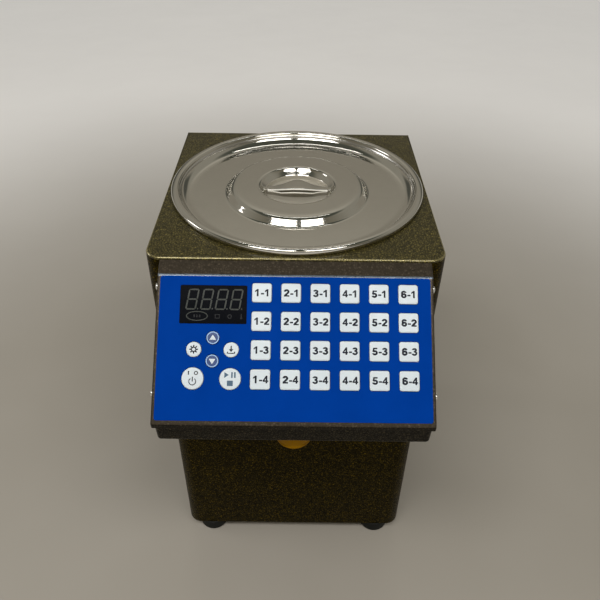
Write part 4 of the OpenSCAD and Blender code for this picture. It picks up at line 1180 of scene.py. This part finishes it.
s = Shape()
loops = []
n = 72
for i in range(n + 1):
    x = (STRAP_L + 0.45) * (2 * i / n - 1)
    f = min(1, 4 * swell(x))
    arch = max(0.0, 0.5 * (1 + cos(pi * min(1, abs(x) / STRAP_L))))
    z, w, wb, h = -2.6 + 4.7 * arch, 3.6 + 6.3 * arch, 3.6 + 8.9 * swell(x), 0.9 + 3.4 * f
    # cross-section: the sheet bends down round a small radius at its front edge and ends in a bead
    low = -1.1 - h
    q = 0.35 + 0.5 * f
    lead = [(w - 1.5 * (1 - sin(a)), -1.5 * (1 - cos(a))) for a in [pi / 2 * k / 6 for k in range(7)]]
    cb = (w + 0.1, low + q)
    lead = [(a, max(b, cb[1] + q * 0.9)) for a, b in lead] + [(cb[0] + q * cos(radians(a)), cb[1] + q * sin(radians(a))) for a in (95, 70, 45, 20, -10, -45, -80, -115, -150, -185)]
    lead += [(w - 1.1, max(cb[1] + 0.4, -3.0)), (w - 1.35, -1.17), (w - 1.8, -1.1)]
    b = 0.6 + 2.0 * f
    trail = [(wb - b * (1 - sin(a)), -b * (1 - cos(a))) for a in [pi / 2 * k / 6 for k in range(7)]]
    trail += [(wb - 0.1, -b - 0.5), (wb - 0.4, -b - 0.65), (wb - 0.8, -b - 0.4), (wb - 1.2, -1.15)]
    ring = [(0.0, 0.0), (wb * 0.5, 0.0)] + trail + [(wb * 0.4, -1.1), (0.0, -1.1)]
    left = [(-w * 0.4, -1.1)] + [(-a, b) for a, b in lead[::-1]] + [(-w * 0.5, 0.0)]
    loops.append([(x, POT_Y + a, ZT + z + b) for a, b in ring + left])
ids = s.loft(loops)
# painted highlight lines on the front bend and its bead, painted shadow in the gap between them, along the rear edge
# and at the ends of the lines
N, R = len(loops[0]), len(ring)
for i in range(len(s.f)):
    k = R + 19 - i % N
    s.m[i] = 1 if k in (2, 3, 4, 5, 8, 9, 10) else 2 if k in (6, 7) or 3 <= i % N <= 10 else 0
    # near the strap's ends the highlight faces take the dark steel too: painted shade where the strap meets the recess
    if s.m[i] == 1 and abs(s.v[s.f[i][0]][0]) > 31:
        s.m[i] = 2
s.fill([ids[0]])
s.fill([ids[-1]])
build("strap", s, [M["lid"], M["glint"], M["dull"]], "lid_handle", angle=50, weighted=False)

# syrup pot
RIM_OUT = [(1, -2), (1.5, 0.6), (2.7, 2.5), (4.6, 3.3), (6.3, 2.9), (7, 1.9), (6.9, 0.8), (6.4, 0.05)]
RIM_IN = [(7.4, 0.05), (7.95, 1.1), (7.9, 2.2), (7, 3.7), (4.7, 4.3), (2.1, 3.4), (0.6, 1.2), (0, -2)]
POT_OUT = [(POT_R - 9, -POT_DEPTH - 1), (POT_R - 3.4, -POT_DEPTH + 1.5), (POT_R + 0.1, -POT_DEPTH + 5.5), (POT_R + 1, -POT_DEPTH + 10)] + [(POT_R + a, b) for a, b in RIM_OUT]
POT_IN = [(POT_R + a, b) for a, b in RIM_IN] + [(POT_R, -POT_DEPTH + 10), (POT_R - 1, -POT_DEPTH + 6), (POT_R - 4.2, -POT_DEPTH + 2.4), (POT_R - 9, -POT_DEPTH)]
s = Shape()
rings = lathe(s, smooth_path(POT_OUT, 4) + smooth_path(POT_IN, 4), (0, POT_Y, ZT), 192)
PORT_Y = 78.35
h = circ(66, PORT_Y, 8.1, 40)
low = s.pts([(x, y, ZT - POT_DEPTH - 1) for x, y in h(0)])
high = s.pts([(x, y, ZT - POT_DEPTH) for x, y in h(0)])
s.strip(low, high)
s.fill([rings[0], low])
s.fill([rings[-1], high])
build("pot", s, M["pot"], "syrup_pot", angle=50)

# silicone heater band, split at the rear, with the ribs of its heating cord, a terminal box and three tie bars
s = Shape()
sect = [(1.2, 0.3), (1.5, 0.0), (2.4, 0.0), (2.7, 0.3)]
for k in range(8):
    sect += [(a, 4.8 + 8.63 * k + b) for a, b in ((2.7, -1.6), (3.1, -1.1), (3.4, -0.4), (3.4, 0.4), (3.1, 1.1), (2.7, 1.6))]
sect += [(2.7, 69.7), (2.4, 70.0), (1.5, 70.0), (1.2, 69.7)]
slit = math.asin(1.8 / (POT_R + 2.3))
loops = []
for i in range(161):
    a = pi / 2 + slit + (2 * pi - 2 * slit) * i / 160
    loops.append([((POT_R + r) * cos(a), POT_Y + (POT_R + r) * sin(a), ZT - 175 + z) for r, z in sect])
ids = s.loft(loops)
s.fill([ids[0]])
s.fill([ids[-1]])
plate(s, rr(0, ZT - 143, 28, 24, 2.0, 6), [], 1.9, 6.0, 0.1, 0.8, xf=lambda p: (p[0], POT_Y - POT_R - p[2], p[1]))
plate(s, rr(0, ZT - 143, 23, 19, 1.4, 5), [], 5.9, 6.5, 0.05, 0.3, xf=lambda p: (p[0], POT_Y - POT_R - p[2], p[1]))
s.mat = 1
for z in (10, 35, 60):
    plate(s, rr(0, ZT - 175 + z, 18, 2.4, 1.1, 5), [], 3.3, 4.4, 0.1, 0.4, xf=lambda p: (p[0], POT_Y + POT_R + p[2], p[1]))
build("heater_wrap", s, [M["heater"], M["zinc"]], "heater_band")

# ------------------------------------------------------------------ nozzle
NOZ = [(2.6, -17), (3.4, -17), (3.6, -16.6), (4.5, -6.6), (5.0, -5.9), (12.3, -3.5), (13.2, -3.9), (14.0, -5.4), (14.15, -7), (14.2, -22.4), (14.5, -22.8), (16.2, -22.8), (16.6, -22.4), (16.6, -21.5),
       (16.4, -21.0), (16.0, -20.4), (16, -1.6), (15.8, -0.8), (15.2, -0.2), (14.6, -0.1), (11.8, -0.1), (11.8, 4.6), (9, 5.6), (4.0, 6), (3.5, 6.4), (3.5, 15.2), (3.2, 15.6), (2.6, 15.6)]
s = Shape()
lathe(s, NOZ, (0, NOZ_Y, z_low), 96, closed=True)
build("spout", s, M["amber"], "nozzle")

# ------------------------------------------------------------------ camera, floor and light
f_dir = Vector((sin(radians(0.169)) * cos(radians(38.473)), cos(radians(0.169)) * cos(radians(38.473)), -sin(radians(38.473))))
right = Vector((cos(radians(0.169)), -sin(radians(0.169)), 0))
down = f_dir.cross(right)
cr, sr = cos(radians(-0.814)), sin(radians(-0.814))
r2 = right * cr + down * sr
d2 = down * cr - right * sr
cam = bpy.data.cameras.new("camera")
cam.sensor_width = 36
cam.lens = 36.966
cam.clip_start = 0.01
cam.clip_end = 100
co = bpy.data.objects.new("camera", cam)
rot = Matrix((r2, -d2, -f_dir)).transposed()
co.matrix_world = Matrix.Translation((0.00291, -0.52881, 0.73993)) @ rot.to_4x4()
bpy.context.scene.collection.objects.link(co)
bpy.context.scene.camera = co

fl = Mat("floor_pale", Specular_IOR_Level=0.25)
fl.set("Base Color", fl.mix(fl.fit(fl.noise(3, 3, 0.5), 0.3, 0.7, 0, 1), (0.43, 0.40, 0.355), (0.395, 0.365, 0.32)))
pos = fl.xyz()
away = fl.math("SQRT", fl.math("ADD", fl.math("MULTIPLY", pos[0], pos[0]), fl.math("MULTIPLY", pos[1], pos[1])))
# painted light: the floor glows, with no glow within 0.45 m of the cabinet rising to half strength at 1.7 m
fl.b.inputs["Emission Color"].default_value = (0.86, 0.85, 0.83, 1)
fl.set("Emission Strength", fl.fit(away, 0.45, 1.7, 0.0, 0.50, "SMOOTHSTEP"))
fl.set("Roughness", fl.fit(fl.noise(9, 3, 0.5), 0.3, 0.7, 0.55, 0.7))
fm = bpy.data.meshes.new("studio_floor")
fm.from_pydata([(-9, -9, 0), (9, -9, 0), (9, 9, 0), (-9, 9, 0)], [], [(0, 1, 2, 3)])
fm.materials.append(fl.m)
fo = bpy.data.objects.new("studio_floor", fm)
bpy.context.scene.collection.objects.link(fo)

world = bpy.data.worlds.new("studio")
bpy.context.scene.world = world
world.use_nodes = True
wt = world.node_tree
bg = wt.nodes["Background"]


def wn(kind, **ins):
    n = wt.nodes.new(kind)
    for k, v in ins.items():
        sock = n.inputs[int(k[1:])] if k[0] == "i" and k[1:].isdigit() else n.inputs[k.replace("_", " ")]
        if isinstance(v, bpy.types.NodeSocket):
            wt.links.new(v, sock)
        else:
            sock.default_value = v
    return n


def ease(v, a, b):
    n = wn("ShaderNodeMapRange", Value=v, From_Min=a, From_Max=b, To_Min=0.0, To_Max=1.0)
    n.interpolation_type = "SMOOTHSTEP"
    return n.outputs["Result"]


def blend(fac, a, b):
    n = wt.nodes.new("ShaderNodeMix")
    n.data_type = "RGBA"
    for k, v in ((0, fac), (6, a), (7, b)):
        if isinstance(v, bpy.types.NodeSocket):
            wt.links.new(v, n.inputs[k])
        else:
            n.inputs[k].default_value = v if k == 0 else (*v, 1)
    return n.outputs[2]


axis = wn("ShaderNodeSeparateXYZ", i0=wt.nodes.new("ShaderNodeTexCoord").outputs["Generated"]).outputs
side = wn("ShaderNodeMath", i0=axis[0])
side.operation = "ABSOLUTE"
side = side.outputs[0]


def both(a, b):
    n = wn("ShaderNodeMath", i0=a, i1=b)
    n.operation = "MULTIPLY"
    return n.outputs[0]


def less(a):
    n = wn("ShaderNodeMath", i0=1.0, i1=a)
    n.operation = "SUBTRACT"
    return n.outputs[0]


wall = blend(ease(axis[2], 0.42, 0.68), (0.30, 0.278, 0.232), (0.49, 0.465, 0.40))
wall = blend(both(ease(side, 0.10, 0.32), ease(axis[2], 0.30, 0.45)), wall, (0.32, 0.305, 0.26))
wall = blend(both(both(ease(side, 0.16, 0.30), less(ease(side, 0.52, 0.70))), both(ease(axis[2], 0.10, 0.20), less(ease(axis[2], 0.36, 0.48)))), wall, (0.09, 0.092, 0.078))
front = blend(ease(axis[2], 0.06, 0.18), (0.06, 0.058, 0.05), (0.17, 0.155, 0.115))
room = blend(ease(axis[1], -0.50, 0.20), front, wall)
room = blend(ease(axis[2], 0.73, 0.83), room, (0.085, 0.09, 0.072))
lit = both(both(ease(axis[2], 0.17, 0.24), less(ease(axis[2], 0.44, 0.56))), both(less(ease(side, 0.50, 0.74)), less(ease(axis[1], -0.62, -0.42))))
room = blend(lit, room, (0.88, 0.83, 0.70))
wt.links.new(room, bg.inputs["Color"])
bg.inputs["Strength"].default_value = 1.0


def area(name, loc, target, sx, sy, power, col=(1, 0.98, 0.95)):
    l = bpy.data.lights.new(name, "AREA")
    l.shape = "RECTANGLE"
    l.size, l.size_y = sx, sy
    l.energy = power
    l.color = col
    o = bpy.data.objects.new(name, l)
    d = Vector(target) - Vector(loc)
    o.matrix_world = Matrix.Translation(loc) @ d.to_track_quat("-Z", "Y").to_matrix().to_4x4()
    bpy.context.scene.collection.objects.link(o)
    return o


def panel(name, c, yaw, sx, sy, radiance, col=(1, 0.98, 0.95)):
    """A flat ceiling panel that shines straight down."""
    o = area(name, c, (c[0], c[1], 0), sx, sy, radiance * pi * sx * sy, col)
    o.matrix_world = Matrix.Translation(c) @ Matrix.Rotation(radians(yaw), 4, "Z")
    return o


panel("panel_left", (-0.60, -1.06, 2.3), -12, 1.14, 0.58, 11.2)
panel("panel_right", (0.73, -1.06, 2.3), 12, 1.02, 0.58, 8.9)
panel("panel_back", (0.0, 1.15, 2.5), 0, 1.3, 0.10, 8)
area("window_left", (-2.0, 0.28, 1.17), (0, 0.0, 0.42), 0.55, 0.6, 5.0, (0.98, 0.97, 0.98))

sc = bpy.context.scene
sc.view_settings.view_transform = "Standard"
sc.view_settings.look = "None"
sc.view_settings.exposure = 0
sc.view_settings.gamma = 1
